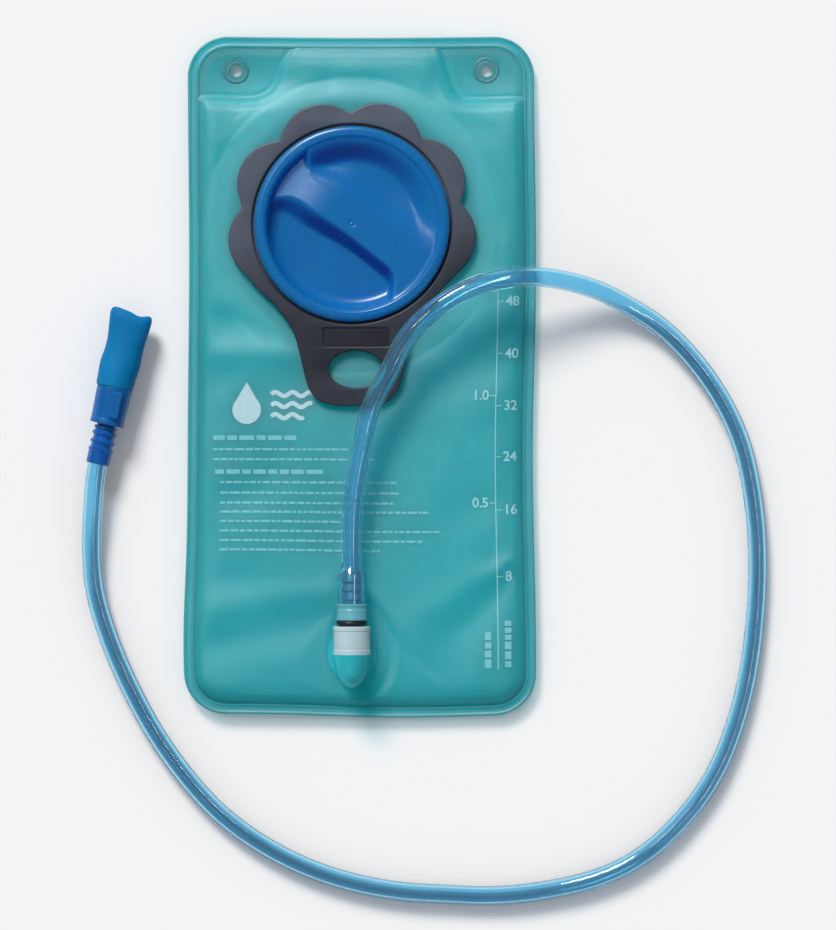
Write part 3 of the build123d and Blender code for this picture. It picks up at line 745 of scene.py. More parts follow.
def front_z(x, y):
    """Height of the front film's outside."""
    inside = edge_distance(x, y) - SHEET_INSET
    patch = patch_distance(x, y)
    r = np.hypot(x - PORT_X, y - PORT_Y)
    # a little fuller below the port, lower towards the hanging end and in the dry corners
    level = (10.7 + 0.9 * smoothstep((20.0 - y) / 60.0) * smoothstep((inside - 4.0) / 40.0)
             - 2.3 * smoothstep((y - 128.0) / 18.0))
    level = level + (6.9 - level) * smoothstep((patch + 7.0) / 8.5)
    # rise from the edge weld
    z = 6.15 + (level - 6.15) * smoothstep((inside + 0.3) / 6.5)
    # creases fade out towards the welds, the port and the outlet's foot
    free = smoothstep(inside / 12.0) * smoothstep(-patch / 12.0)
    free_port = smoothstep((r - 60.0) / 13.0)
    foot = np.hypot((x - OUTLET_X) / 14.0, (y - OUTLET_Y) / 15.5)
    free_foot = smoothstep((foot - 1.0) / 0.7)
    wrinkles = creases(x, y) + 0.55 * sim_lookup(WRINKLES, x, y)
    z = z + wrinkles * free * free_port * free_foot
    z = z * free_port + FLAT_FRONT * (1 - free_port)
    z = z * free_foot + FLAT_FRONT * (1 - free_foot)
    # a faint groove round the port, and the corner seams: a groove with a soft ridge outside it
    z = z - 0.22 * bell((r - 72.4) / 1.5) * smoothstep(inside / 4.0)
    seam = -0.42 * bell(patch / 1.25) + 0.45 * bell((patch + 2.6) / 1.5)
    z = z + seam * smoothstep((inside + 0.5) / 3.0)
    # the lie of the bag on the table, kept off the port
    lift = rim_lift(x, y) * (1 - smoothstep(inside / 20.0)) * smoothstep((r - 62) / 12)
    sag = corner_sag(x, y) * smoothstep((r - 62) / 16)
    return z + lift + sag + pad_groove(x, y) * smoothstep(inside / 6.0)


def back_z(x, y):
    inside = edge_distance(x, y) - SHEET_INSET
    z = np.clip(sim_lookup(BACK_HEIGHTS, x, y), 0.0, 5.2)
    lift = rim_lift(x, y) * (1 - smoothstep(inside / 20.0)) + corner_sag(x, y)
    return np.maximum(z + lift, 0.0)


# ------------------------------------------------------------------ films
def film_sheet(name, columns, rows, height, holes, material, outward):
    """Film on a fitted grid, with round holes cut; outward faces point up."""
    x, y = film_grid(columns, rows, SHEET_TRIM)
    z = height(x, y)
    keep = np.ones(x.shape, bool)
    for hole_x, hole_y, radius in holes:
        r = np.hypot(x - hole_x, y - hole_y)
        outside = r > radius - 0.45
        keep &= outside
        # points next to the hole go onto its edge
        near = outside & (r < radius + 0.95)
        k = np.where(near, radius / np.maximum(r, 1e-6), 1.0)
        x, y = hole_x + (x - hole_x) * k, hole_y + (y - hole_y) * k
    warped_x, warped_y = warp(x, y)
    flat = keep.ravel()
    index = -np.ones(x.size, int)
    index[flat] = np.arange(flat.sum())
    points = np.stack([warped_x.ravel()[flat], warped_y.ravel()[flat], z.ravel()[flat]], -1)
    faces = []
    row = columns + 1
    for j in range(len(rows) - 1):
        for i in range(columns):
            corners = (j * row + i, j * row + i + 1, (j + 1) * row + i + 1, (j + 1) * row + i)
            quad = tuple(int(index[k]) for k in corners if index[k] >= 0)
            if len(quad) == 4:
                faces.append(quad if outward else quad[::-1])
    ob = new_mesh(name, points, faces, material)
    with editing(ob.data) as bm:
        loose = [v for v in bm.verts if not v.link_faces]
        bmesh.ops.delete(bm, geom=loose, context="VERTS")
        bmesh.ops.dissolve_degenerate(bm, dist=1e-6, edges=bm.edges)
    solid = ob.modifiers.new("film", "SOLIDIFY")
    solid.thickness = FILM_THICKNESS * MM
    solid.offset = -1
    # bake the thickness into the mesh
    graph = bpy.context.evaluated_depsgraph_get()
    thin = ob.data
    thick = bpy.data.meshes.new_from_object(ob.evaluated_get(graph))
    ob.modifiers.clear()
    ob.data = thick
    bpy.data.meshes.remove(thin)
    shade_smooth(ob.data, sharp_angle=60)
    return ob


def build_films():
    hang_cuts = [(x, y, HANG_HOLE_RADIUS) for x, y in HANG_HOLES]
    # rows of the front film stand closer together round the corner seams
    front_rows = np.concatenate([np.linspace(-1, 0.744, 242, endpoint=False),
                                 np.linspace(0.744, 1, 66)])
    front = film_sheet("front_film", 156, front_rows, front_z,
                       [(PORT_X, PORT_Y, PORT_HOLE)] + hang_cuts, FILM, outward=True)
    register(front, "bag", "front_panel")
    back = film_sheet("back_film", 84, np.linspace(-1, 1, 165), back_z, hang_cuts, BACK_FILM,
                      outward=False)
    register(back, "bag", "back_panel")


build_films()

# Section of the welded edge, an outer bead, a flat band and an inner bead: distance in, height
WELD_SECTION = [
    (0.0, 5.5), (0.05, 5.95), (0.3, 6.35), (0.75, 6.5), (1.2, 6.38), (1.55, 6.1), (1.9, 6.02),
    (3.3, 6.02), (3.7, 6.15), (4.05, 6.5), (4.5, 6.68), (4.95, 6.62), (5.3, 6.45), (5.7, 6.3),
    (5.7, 4.7), (5.3, 4.55), (4.95, 4.38), (4.5, 4.32), (4.05, 4.5), (3.7, 4.85), (3.3, 4.98),
    (1.9, 4.98), (1.55, 4.9), (1.2, 4.62), (0.75, 4.5), (0.3, 4.65), (0.05, 5.05)]


def build_edge_weld():
    loops = []
    for inset, height in WELD_SECTION:
        x, y = bag_outline(inset).T
        z = height + rim_lift(x, y) + corner_sag(x, y)
        loops.append(np.stack([*warp(x, y), z], -1))
    weld = loops_mesh("edge_weld", loops, WELD, join_ends=True)
    register(weld, "bag", None)


build_edge_weld()

# Raised ring and lip round a hanging hole: radius, height above the film
HANG_RING_PROFILE = [
    (2.95, -1.6), (2.95, 0.06), (3.1, 0.20), (3.4, 0.27), (3.8, 0.24), (4.3, 0.12), (4.8, 0.10),
    (5.2, 0.20), (5.6, 0.30), (6.0, 0.26), (6.4, 0.10), (6.8, -0.15), (6.8, -0.6), (3.6, -1.4),
    (3.3, -1.6)]


def build_hang_rings():
    hole_x, hole_y = np.array(HANG_HOLES).T
    film_tops = front_z(hole_x + 5.0, hole_y)       # the film just right of each hole
    names = (("hang_ring_left", "hang_rings"), ("hang_ring_right", None))
    for (name, node), x, y, top in zip(names, *warp(hole_x, hole_y), film_tops):
        ring = turned(name, (x, y), top, HANG_RING_PROFILE, 64, WELD)
        register(ring, "bag", node)


build_hang_rings()


# ------------------------------------------------------------------ printing on the film
INK_LIFT = 0.20         # height of the ink above the film's surface
LONGEST_EDGE = 0.0022   # metres; longer edges are split so that the ink follows the film


class Ink:
    """Flat shapes gathered into one mesh and laid onto the front film."""

    def __init__(self):
        self.points = []
        self.faces = []

    def add(self, points, faces):
        base = len(self.points)
        self.points += [(x, y, 0) for x, y in points]
        self.faces += [tuple(base + i for i in face) for face in faces]

    def quad(self, x0, y0, x1, y1, step=3.0):
        n = max(1, int(abs(x1 - x0) / step))
        k = max(1, int(abs(y1 - y0) / step))
        row = n + 1
        self.add([(x0 + (x1 - x0) * i / n, y0 + (y1 - y0) * j / k)
                  for j in range(k + 1) for i in range(row)],
                 [(a, a + 1, a + row + 1, a + row)
                  for j in range(k) for a in range(j * row, j * row + n)])

    def band(self, points, width):
        """Band of even width along a line of points."""
        points = np.asarray(points, float)
        along = np.gradient(points, axis=0)
        along /= np.linalg.norm(along, axis=1)[:, None]
        side = np.stack([-along[:, 1], along[:, 0]], -1) * width / 2
        pairs = [p for pair in zip(points + side, points - side) for p in pair]
        self.add(pairs, [(2 * i, 2 * i + 1, 2 * i + 3, 2 * i + 2)
                         for i in range(len(points) - 1)])

    def fan(self, centre, points):
        n = len(points)
        self.add([centre] + points, [(0, 1 + i, 1 + (i + 1) % n) for i in range(n)])

    def text(self, body, x, y, size, align="LEFT"):
        curve = bpy.data.curves.new("t", "FONT")
        curve.body = body
        curve.size = size
        curve.align_x = align
        curve.align_y = "CENTER"
        curve.resolution_u = 4
        curve.offset = 0.13     # fattens the letters
        mesh = curve_to_mesh("t", curve)
        self.add([(x + v.co.x, y + v.co.y) for v in mesh.vertices],
                 [tuple(p.vertices) for p in mesh.polygons])
        bpy.data.meshes.remove(mesh)

    def build(self, name, material):
        mesh_ob = new_mesh(name, self.points, self.faces, material, smooth=False)
        mesh = mesh_ob.data
        with editing(mesh) as bm:
            bmesh.ops.triangulate(bm, faces=bm.faces)
            for _ in range(5):
                long_edges = [e for e in bm.edges if e.calc_length() > LONGEST_EDGE]
                if not long_edges:
                    break
                bmesh.ops.subdivide_edges(bm, edges=long_edges, cuts=1)
                bmesh.ops.triangulate(bm, faces=bm.faces)
        co = np.empty(len(mesh.vertices) * 3)
        mesh.vertices.foreach_get("co", co)
        x, y, _ = co.reshape(-1, 3).T / MM
        laid = np.stack([*warp(x, y), front_z(x, y) + INK_LIFT], -1)
        mesh.vertices.foreach_set("co", (laid * MM).ravel())
        mesh.update()
        register(mesh_ob, "bag", None)


def print_scale():
    """Upright line with ticks and numbers to its right and left."""
    line_x, bottom, top = 66.395, -143.325, 41.895
    half_line, half_tick = 0.22, 0.2
    tick, top_tick = 2.94, 3.92
    right_gap, left_gap, size = 0.98, 0.49, 6.7
    right_marks = ((36.505, "48"), (11.025, "40"), (-14.455, "32"), (-39.445, "24"),
                   (-65.415, "16"), (-98.0, "8"))
    left_marks = ((-9.555, "1.0"), (-61.985, "0.5"))
    ink = Ink()
    ink.quad(line_x - half_line, bottom, line_x + half_line, top)
    for y, label in right_marks:
        ink.quad(line_x, y - half_tick, line_x + tick, y + half_tick)
        ink.text(label, line_x + tick + right_gap, y, size)
    for y, label in left_marks:
        ink.quad(line_x - tick, y - half_tick, line_x, y + half_tick)
        ink.text(label, line_x - tick - left_gap, y, size, "RIGHT")
    top_tick_y = 41.405
    ink.quad(line_x - top_tick, top_tick_y - half_tick, line_x, top_tick_y + half_tick)
    ink.build("scale_print", INK)


# Lines of bars in place of text: y, left end, right end
HEADINGS = [(-30.135, -72.275, -30.135, 2.3), (-46.795, -71.295, -16.905, 2.2)]   # and thickness
FINE_LINES = [
    (-35.77, -72.275, -5.635), (-40.67, -72.275, 9.065), (-51.94, -68.845, 17.395),
    (-57.085, -68.845, 18.375), (-61.985, -68.845, 15.925), (-66.395, -68.845, 33.075),
    (-71.05, -68.845, -10.045), (-75.705, -68.845, 38.465), (-80.409, -68.845, 31.605),
    (-85.015, -68.845, 9.555)]
# Upright columns of bars beside the scale: x, bottom, top
BAR_COLUMNS = [(61.495, -142.345, -123.235), (71.295, -142.345, -117.845)]


def bars(start, end, gap, shortest, longest, margin):
    """Ends of bars of random length; none starts within margin of the end."""
    while start < end - margin:
        length = min(random.uniform(shortest, longest), end - start)
        yield start, start + length
        start += length + gap


def print_instructions():
    ink = Ink()
    for y, left, right, thick in HEADINGS:
        for x0, x1 in bars(left, right, gap=1.2, shortest=4, longest=9, margin=4):
            ink.quad(x0, y - thick / 2, x1, y + thick / 2)
    thick = 1.15
    for y, left, right in FINE_LINES:
        for x0, x1 in bars(left, right, gap=0.8, shortest=1.5, longest=5.0, margin=1.5):
            ink.quad(x0, y - thick / 2, x1, y + thick / 2)
    half_column = 1.6
    for x, bottom, top in BAR_COLUMNS:
        for y0, y1 in bars(bottom, top, gap=0.9, shortest=2.0, longest=4.2, margin=1.5):
            ink.quad(x - half_column, y0, x + half_column, y1)
    ink.build("instruction_print", FINE_INK)


def print_droplet():
    """A drop, point up, with three waves to its right."""
    cx, cy, size = -56.0, -14.0, 8.5
    radius = size * 0.82
    low, half_sweep = -0.5 * math.pi, 2.3       # the round part's middle and half its sweep
    drop = [(cx + radius * math.cos(a), cy - 2.5 + radius * math.sin(a))
            for a in np.linspace(low - half_sweep, low + half_sweep, 40)]
    drop.append((cx, cy + size * 1.3))
    ink = Ink()
    ink.fan((cx, cy - 1.5), drop)
    for k in range(3):
        wave_y = cy + 5.2 - k * 5.4
        wave = [(cx + 12 + t, wave_y + math.sin(t * 0.75)) for t in np.linspace(0, 24 - k * 4, 50)]
        ink.band(wave, width=2.1)
    ink.build("droplet_print", PALE_INK)


print_scale()
print_instructions()
print_droplet()

# ------------------------------------------------------------------ collar
PETAL_RADIUS = 21
PETAL_DISTANCE = 40                         # petal centres from the port's centre
PETAL_ANGLES = range(-9, 192, 40)           # degrees
COLLAR_MIN_RADIUS = 53.0                    # between the petals
# Outside edge of the handle, from the collar's left down and up again on its right: x, y
HANDLE_EDGE = [
    (-50.0, 41.8), (-41.5, 33.6), (-33.2, 21.5), (-28.8, 6.0), (-26.2, -4.5), (-21.2, -11.8),
    (-12.5, -14.4), (-3.6, -14.6), (5.3, -14.4), (14.0, -11.8), (19.0, -4.5), (21.6, 6.0),
    (25.4, 21.5), (32.2, 33.6), (39.5, 42.6)]
COLLAR_BOTTOM, COLLAR_TOP = 11.02, 14.9
PANEL_X, PANEL_Y = -2.5, 18.8
PANEL_WIDTH, PANEL_HEIGHT, PANEL_CORNER = 31.5, 8.8, 1.2
# Lip inside the collar: radius, height
LIP_PROFILE = [(49.2, 11.05), (49.2, 12.9), (47.3, 12.9), (47.05, 12.6), (47.05, 11.2),
               (47.2, 11.05)]


def petal_radius(t):
    """Distance from the port's centre to the petalled edge at angle t."""
    best = COLLAR_MIN_RADIUS
    for degrees in PETAL_ANGLES:
        dt = (t - math.radians(degrees) + math.pi) % (2 * math.pi) - math.pi
        aside = PETAL_DISTANCE * math.sin(dt)
        if abs(aside) < PETAL_RADIUS and abs(dt) < 1.2:
            reach = math.sqrt(PETAL_RADIUS ** 2 - aside ** 2)
            best = max(best, PETAL_DISTANCE * math.cos(dt) + reach)
    return best


def collar_outline():
    """Outside edge of the collar and its handle, counter-clockwise."""
    petals = [(PORT_X + petal_radius(t) * math.cos(t), PORT_Y + petal_radius(t) * math.sin(t))
              for t in np.linspace(math.radians(-19.5), math.radians(203.5), 420)]
    loop = np.concatenate([petals, cubic_line(HANDLE_EDGE, 150)])
    # even spacing, then a light rounding of the cusps between the petals
    lengths = np.linalg.norm(np.roll(loop, -1, 0) - loop, axis=1)
    travelled = np.concatenate([[0], np.cumsum(lengths)])
    closed = np.concatenate([loop, loop[:1]])
    t = np.linspace(0, travelled[-1], 620, endpoint=False)
    loop = np.stack([np.interp(t, travelled, closed[:, k]) for k in (0, 1)], -1)
    for _ in range(10):
        loop = 0.5 * loop + 0.25 * (np.roll(loop, 1, 0) + np.roll(loop, -1, 0))
    return loop


def build_collar():
    holes = [ellipse(PORT_X, PORT_Y, 48.9, 48.9, 200),
             ellipse(-2.7, 3.3, 13.25, 9.0, 96),        # oval hole through the handle
             rounded_rect(PANEL_X, PANEL_Y, PANEL_WIDTH, PANEL_HEIGHT, PANEL_CORNER)]
    collar = flat_plate("collar_ring", collar_outline(), holes, COLLAR_BOTTOM, COLLAR_TOP,
                        bevel=0.75, bevel_steps=4, material=COLLAR)
    register(collar, "bag", "handle_collar")
    lip = turned("collar_inner_lip", (PORT_X, PORT_Y), 0.0, LIP_PROFILE, 200, COLLAR,
                 sharp_angle=35)
    register(lip, "bag", None)
    # the plain panel overlaps the edge of its hole slightly
    edge = rounded_rect(PANEL_X, PANEL_Y, PANEL_WIDTH + 0.2, PANEL_HEIGHT + 0.2,
                        PANEL_CORNER + 0.1)
    panel = flat_plate("collar_plain_panel", edge, [], 11.1, 14.35, bevel=0.2, bevel_steps=2,
                       material=PANEL)
    register(panel, "bag", None)
    return [collar, lip, panel]


collar_pieces = build_collar()

# ------------------------------------------------------------------ screw cap
BAR_ANGLE = math.radians(144.0)     # towards the fanned end of the grip bar
BAR_TOP = 15.7
POCKET_FLOOR = 7.7
SCOOP_FLOOR = 10.0
WALL_TOP = 16.1
RIM_INNER = 41.8                    # radius where the raised rim begins
CAP_RADIUS = 47.7
PLUG_RADIUS = 43.0
THREAD_START = math.radians(202.5)
THREAD_RUN = math.radians(110)
THREAD_LOW = 7.75                   # height of a rib's lower end
THREAD_LEAD = 8.0                   # rise in one full turn
THREAD_DEPTH = 1.3
CAP_ANGLES = np.linspace(0, 2 * math.pi, 360, endpoint=False)
CAP_RADII = np.concatenate([np.linspace(0.25, 3.0, 8), np.linspace(3.5, 30, 42),
                            np.linspace(30.5, 45.0, 46), np.linspace(45.2, CAP_RADIUS, 14)])
# Skirt and groove under the rim down to the plug, then the plug's underside: radius, height
SKIRT = [(CAP_RADIUS, 15.1), (CAP_RADIUS, 14.6), (47.6, 14.25), (47.3, 14.1), (46.65, 14.1),
         (46.65, 15.1), (44.85, 15.1), (44.85, 14.1), (43.2, 14.1), (PLUG_RADIUS, 13.95)]
UNDERSIDE = [(42.7, 6.45), (42.2, 6.4), (39.0, 6.4), (20.0, 6.4), (0.5, 6.4)]


def quarter_round(t, power=2):
    """Rises from 0 to 1, ever steeper, as t goes from 0 to 1."""
    return 1 - np.sqrt(np.maximum(1 - t ** power, 0.0))


def cap_z(x, y):
    """Top of the cap, from its own centre: a grip bar with a D-shaped pocket on its lower left
    side and, on the other, a scoop that deepens from the lower right round to the top."""
    r = np.hypot(x, y)
    along = x * math.cos(BAR_ANGLE) + y * math.sin(BAR_ANGLE)       # towards the fanned end
    across = -x * math.sin(BAR_ANGLE) + y * math.cos(BAR_ANGLE)     # towards the pocket
    turn = np.degrees(np.arctan2(y, x))
    on_pocket_side = across > 0
    # the bar is level, then falls towards the fanned end
    top = BAR_TOP - 5.2 * np.clip((along - 12.0) / 29.0, 0, 1) ** 1.7
    fan = 0.0022 * np.maximum(along - 24, 0) ** 3
    # pocket: the bar's edge spreads at both ends, and its slope widens to the fanned end
    pocket_edge = (4.7 + 0.045 * np.maximum(-along - 2, 0)
                   + 0.0060 * np.maximum(-along - 25, 0) ** 3 + fan)
    pocket_slope = 6.4 + 4.0 * smoothstep((along + 12.0) / 36.0)
    in_pocket = smoothstep((across - pocket_edge) / pocket_slope)
    pocket = top + (POCKET_FLOOR - top) * in_pocket
    # scoop
    scoop_edge = 6.6 + fan
    run = 8.0 + 11.0 * smoothstep((34.0 - along) / 22.0)
    deep = (top - SCOOP_FLOOR) * smoothstep((turn + 58.0) / 100.0)
    g = np.clip((-across - scoop_edge) / run, 0, 1)
    g = g - 0.7 * np.sin(2 * math.pi * g) / (2 * math.pi)
    z = np.where(on_pocket_side, pocket, top - deep * g)
    # walls up to the rim, rounded at the foot; the scoop's deep part has a long sloping wall
    slope = smoothstep((turn + 60.0) / 80.0) * smoothstep((160.0 - turn) / 25.0)
    foot = np.where(on_pocket_side, 34.6, 33.5 - 4.0 * slope)
    t = np.clip((r - foot) / (RIM_INNER - foot), 0, 1)
    round_wall = quarter_round(t, 2.4)
    slope_wall = 0.90 * smoothstep(t * 1.06) + 0.10 * t ** 8
    wall = np.where(on_pocket_side, round_wall, round_wall * (1 - slope) + slope_wall * slope)
    # the ends of the bar meet the rim in a tight curve
    on_bar = np.where(on_pocket_side, 1 - in_pocket, 1 - smoothstep((-across - scoop_edge) / 4.0))
    tight = quarter_round(np.clip((r - 39.6) / 2.2, 0, 1), 2.2)
    wall = wall * (1 - on_bar) + tight * on_bar
    z = z + (WALL_TOP - z) * wall
    # raised round-topped rim
    rim = WALL_TOP + 0.9 * smoothstep(np.clip((r - RIM_INNER) / 1.6, 0, 1))
    rim = rim - 1.9 * quarter_round(np.clip((r - 44.9) / 2.8, 0, 1))
    z = np.where(r > RIM_INNER, rim, z)
    # moulding mark in the middle: a dimple with a small pip
    return z - 0.35 * bell((r / 1.5) ** 2) + 0.45 * bell((r / 0.65) ** 2)


def cap_ring(r, z):
    r = r * np.ones_like(CAP_ANGLES)
    return np.stack([PORT_X + r * np.cos(CAP_ANGLES), PORT_Y + r * np.sin(CAP_ANGLES),
                     z * np.ones_like(CAP_ANGLES)], -1)


def thread_rib(z):
    """How far the two-start thread stands out round the plug at height z, from 0 to 1."""
    out = np.zeros_like(CAP_ANGLES)
    for start in (THREAD_START, THREAD_START + math.pi):
        a = (CAP_ANGLES - start) % (2 * math.pi)
        on = smoothstep(a / 0.06) * smoothstep((THREAD_RUN - a) / 0.06)
        middle = THREAD_LOW + THREAD_LEAD * a / (2 * math.pi)
        out = np.maximum(out, on * np.clip((1.0 - np.abs(z - middle)) / 0.5, 0, 1))
    return out


def paint_wall_shade(mesh):
    """Stores the attribute "wall", a painted shade: where the top slopes up towards the bearing of
    112 degrees, so faces away from the key light.
    """
    co = np.empty(len(mesh.vertices) * 3)
    mesh.vertices.foreach_get("co", co)
    x, y, z = co.reshape(-1, 3).T / MM
    x = x - PORT_X
    y = y - PORT_Y
    step = 0.4
    slope_x = (cap_z(x + step, y) - cap_z(x - step, y)) / (2 * step)
    slope_y = (cap_z(x, y + step) - cap_z(x, y - step)) / (2 * step)
    bearing = math.radians(112)
    rise = slope_x * math.cos(bearing) + slope_y * math.sin(bearing)
    # strength of the painted shade, 0 to 1
    wall = np.clip((rise - 0.12) / 0.5, 0, 1)
    wall = np.where((np.hypot(x, y) < 41.0) & (z > 7.0), wall, 0.0)
    attribute = mesh.color_attributes.new("wall", "FLOAT_COLOR", "POINT")
    attribute.data.foreach_set("color", np.repeat(wall[:, None], 4, 1).astype(np.float32).ravel())


def build_cap():
    loops = []
    for r in CAP_RADII:
        x, y = r * np.cos(CAP_ANGLES), r * np.sin(CAP_ANGLES)
        loops.append(np.stack([x + PORT_X, y + PORT_Y, cap_z(x, y)], -1))
    loops += [cap_ring(r, z) for r, z in SKIRT]
    loops += [cap_ring(PLUG_RADIUS + THREAD_DEPTH * thread_rib(z), z)
              for z in np.arange(13.7, 6.55, -0.22)]
    loops += [cap_ring(r, z) for r, z in UNDERSIDE]
    cap = loops_mesh("cap_body", loops, CAP, caps=True, sharp_angle=50)
    # painted shade on the cap's walls turned from the key light
    paint_wall_shade(cap.data)
    return register(cap, "cap", "screw_cap")


cap = build_cap()

# ------------------------------------------------------------------ drinking tube
# Direction and start of the mouthpiece's axis
MOUTH_TILT = math.radians(12.85)
MOUTH_AXIS = np.array([math.sin(MOUTH_TILT), math.cos(MOUTH_TILT), 0.0])
MOUTH_RIGHT = np.array([MOUTH_AXIS[1], -MOUTH_AXIS[0], 0.0])
MOUTH_START = np.array([-128.7, -42.9, 10.6])
# Centre line of the tube from the outlet's plug to just before the mouthpiece: x, y, z
TUBE_PATH = [
    (-4.5, -110.8, 21.0), (-4.5, -101.5, 21.0), (-4.5, -92.0, 21.0),
    (-4.5, -86.0, 21.3), (-4.4, -70.3, 22.3), (-3.2, -55.6, 23.8), (-0.2, -38.4, 25.8),
    (3.7, -19.4, 28.0), (8.4, -7.6, 29.3), (15.0, 4.1, 30.8), (19.9, 14.8, 32.0),
    (27.2, 24.1, 32.9), (36.5, 32.4, 33.3), (45.9, 38.8, 33.0), (57.2, 44.0, 31.8),
    (70.4, 47.0, 29.4), (84.0, 48.0, 25.9), (97.2, 46.6, 21.4), (114.8, 42.0, 14.3),
    (130.8, 34.2, 8.3), (145.7, 24.7, 5.4), (158.6, 12.4, 4.85), (169.7, -1.4, 4.85),
    (178.9, -16.5, 4.85), (185.8, -32.8, 4.85), (190.0, -50.0, 4.85), (192.6, -67.5, 4.85),
    (193.8, -85.2, 4.85), (193.7, -102.8, 4.85), (192.5, -120.4, 4.85), (190.4, -137.9, 4.85),
    (187.1, -155.3, 4.85), (182.2, -172.3, 4.85), (175.8, -188.8, 4.85), (167.0, -204.2, 4.85),
    (155.9, -218.0, 4.85), (143.2, -230.3, 4.85), (128.3, -240.1, 4.85), (111.8, -246.7, 4.85),
    (94.6, -250.7, 4.85), (77.1, -253.3, 4.85), (59.4, -254.2, 4.85), (41.7, -253.4, 4.85),
    (24.2, -252.5, 4.85), (6.7, -250.1, 4.85), (-10.5, -246.0, 4.85), (-27.2, -240.1, 4.85),
    (-43.1, -232.3, 4.85), (-58.1, -222.8, 4.85), (-71.7, -211.6, 4.85), (-83.7, -198.5, 4.85),
    (-94.4, -184.4, 4.85), (-103.9, -169.6, 4.85), (-112.2, -154.0, 4.85), (-119.6, -138.0, 4.85),
    (-125.8, -121.4, 4.85), (-130.4, -104.4, 5.2), (-131.9, -86.6, 6.4), (-131.4, -69.0, 8.6),
    (-130.1, -52.5, 10.3)]
TUBE_RADIUS, BORE_RADIUS = 4.8, 3.2
TUBE_FLARE, BORE_FLARE = 1.95, 2.05         # extra radius over the plug
BARBS = (3.2, 7.6, 12.0)                    # raised rings over the plug, along the tube
TUBE_SIDES = 36


def hermite(points, travelled, stations):
    """Smooth curve through the points, read at distances along their chords."""
    slope = np.zeros_like(points)
    slope[1:-1] = (points[2:] - points[:-2]) / (travelled[2:] - travelled[:-2])[:, None]
    slope[0] = (points[1] - points[0]) / (travelled[1] - travelled[0])
    slope[-1] = (points[-1] - points[-2]) / (travelled[-1] - travelled[-2])
    i = np.clip(np.searchsorted(travelled, stations, side="right") - 1, 0, len(points) - 2)
    h = (travelled[i + 1] - travelled[i])[:, None]
    t = (stations - travelled[i])[:, None] / h
    return ((2 * t ** 3 - 3 * t ** 2 + 1) * points[i]
            + (t ** 3 - 2 * t ** 2 + t) * h * slope[i]
            + (-2 * t ** 3 + 3 * t ** 2) * points[i + 1]
            + (t ** 3 - t ** 2) * h * slope[i + 1])


def build_tube():
    mouth_end = [MOUTH_START + MOUTH_AXIS * s for s in (0, 8, 16)]
    path = np.concatenate([TUBE_PATH, mouth_end])
    steps = np.linalg.norm(np.diff(path, axis=0), axis=1)
    travelled = np.concatenate([[0], np.cumsum(steps)])
    stations = np.concatenate([np.linspace(0, 22, 34), np.linspace(22.6, travelled[-1], 470)])
    centre = hermite(path, travelled, stations)
    # even out the bends between the plug and the mouthpiece
    for _ in range(6):
        centre[36:-20] = 0.5 * centre[36:-20] + 0.25 * (centre[35:-21] + centre[37:-19])
    forward = np.gradient(centre, axis=0)
    forward /= np.linalg.norm(forward, axis=1)[:, None]
    up = np.array([0, 0, 1.0]) - forward * forward[:, 2:3]
    up /= np.linalg.norm(up, axis=1)[:, None]
    side = np.cross(forward, up)

    outer_radius = TUBE_RADIUS + TUBE_FLARE * (1 - smoothstep((stations - 13.0) / 6.5))
    for barb in BARBS:
        outer_radius += 0.16 * bell((stations - barb) / 1.3)
    bore_radius = BORE_RADIUS + BORE_FLARE * (1 - smoothstep((stations - 14.0) / 4.0))

    a = np.linspace(0, 2 * math.pi, TUBE_SIDES, endpoint=False)
    cos, sin = np.cos(a)[:, None], np.sin(a)[:, None]

    def rings(radius):
        return [c + r * (cos * u + sin * s) for c, r, u, s in zip(centre, radius, up, side)]

    tube = loops_mesh("tube_wall", rings(outer_radius) + rings(bore_radius)[::-1], TUBE,
                      join_ends=True, sharp_angle=50)
    tube.data.materials.append(BORE.data)
    first_bore_point = len(centre) * TUBE_SIDES
    for polygon in tube.data.polygons:
        if min(polygon.vertices) >= first_bore_point:
            polygon.material_index = 1
    return register(tube, "hose", "drinking_tube")


tube = build_tube()

# ------------------------------------------------------------------ mouthpiece
# Sections: distance along the axis, half width, half height, roundness power, shift to the right
BITE_SECTIONS = np.array([
    (38.1, 8.75, 8.55, 2.0, -0.3), (38.4, 9.0, 8.8, 2.0, -0.3), (40.0, 9.15, 8.85, 2.0, -0.3),
    (44.0, 9.35, 8.6, 2.05, -0.3), (48.0, 9.75, 8.2, 2.1, -0.15), (51.0, 9.8, 7.8, 2.15, 0.0),
    (55.0, 9.35, 7.3, 2.2, 0.2), (60.0, 9.2, 6.8, 2.3, 0.3), (65.0, 9.6, 6.4, 2.4, 0.3),
    (69.0, 10.1, 6.1, 2.5, 0.2), (72.0, 10.4, 5.9, 2.6, 0.1), (74.0, 10.35, 5.5, 2.6, 0.0),
    (75.2, 9.9, 4.9, 2.5, 0.0), (75.9, 9.0, 4.0, 2.4, 0.0), (76.2, 7.6, 2.8, 2.3, 0.0)])
BITE_START, BITE_END = 38.1, 76.2
# The last rings turn in to a narrow slit: half width, half height, distance past the end
SLIT = [(6.4, 0.9, 0.0), (6.2, 0.35, -0.6), (6.0, 0.3, -2.4)]


def bite_ring(s, half_width, half_height, power, shift, tip):
    """Rounded ring across the axis at distance s; tip sets how far the end is uneven."""
    ring = []
    for t in np.linspace(0, 2 * math.pi, 84, endpoint=False):
        c, q = math.cos(t), math.sin(t)
        right = half_width * math.copysign(abs(c) ** (2 / power), c) + shift
        up = half_height * math.copysign(abs(q) ** (2 / power), q)
        # the tip stands out on its left corner and dips to the right of the middle
        reach = tip * (0.9 * smoothstep(-right / 10.0) - 1.5 * bell((right - 4.0) / 3.6)
                       + 0.2 * smoothstep((right - 7) / 3.0))
        ring.append(MOUTH_START + MOUTH_AXIS * (s + reach) + MOUTH_RIGHT * right
                    + np.array([0, 0, 1.0]) * up)
    return ring


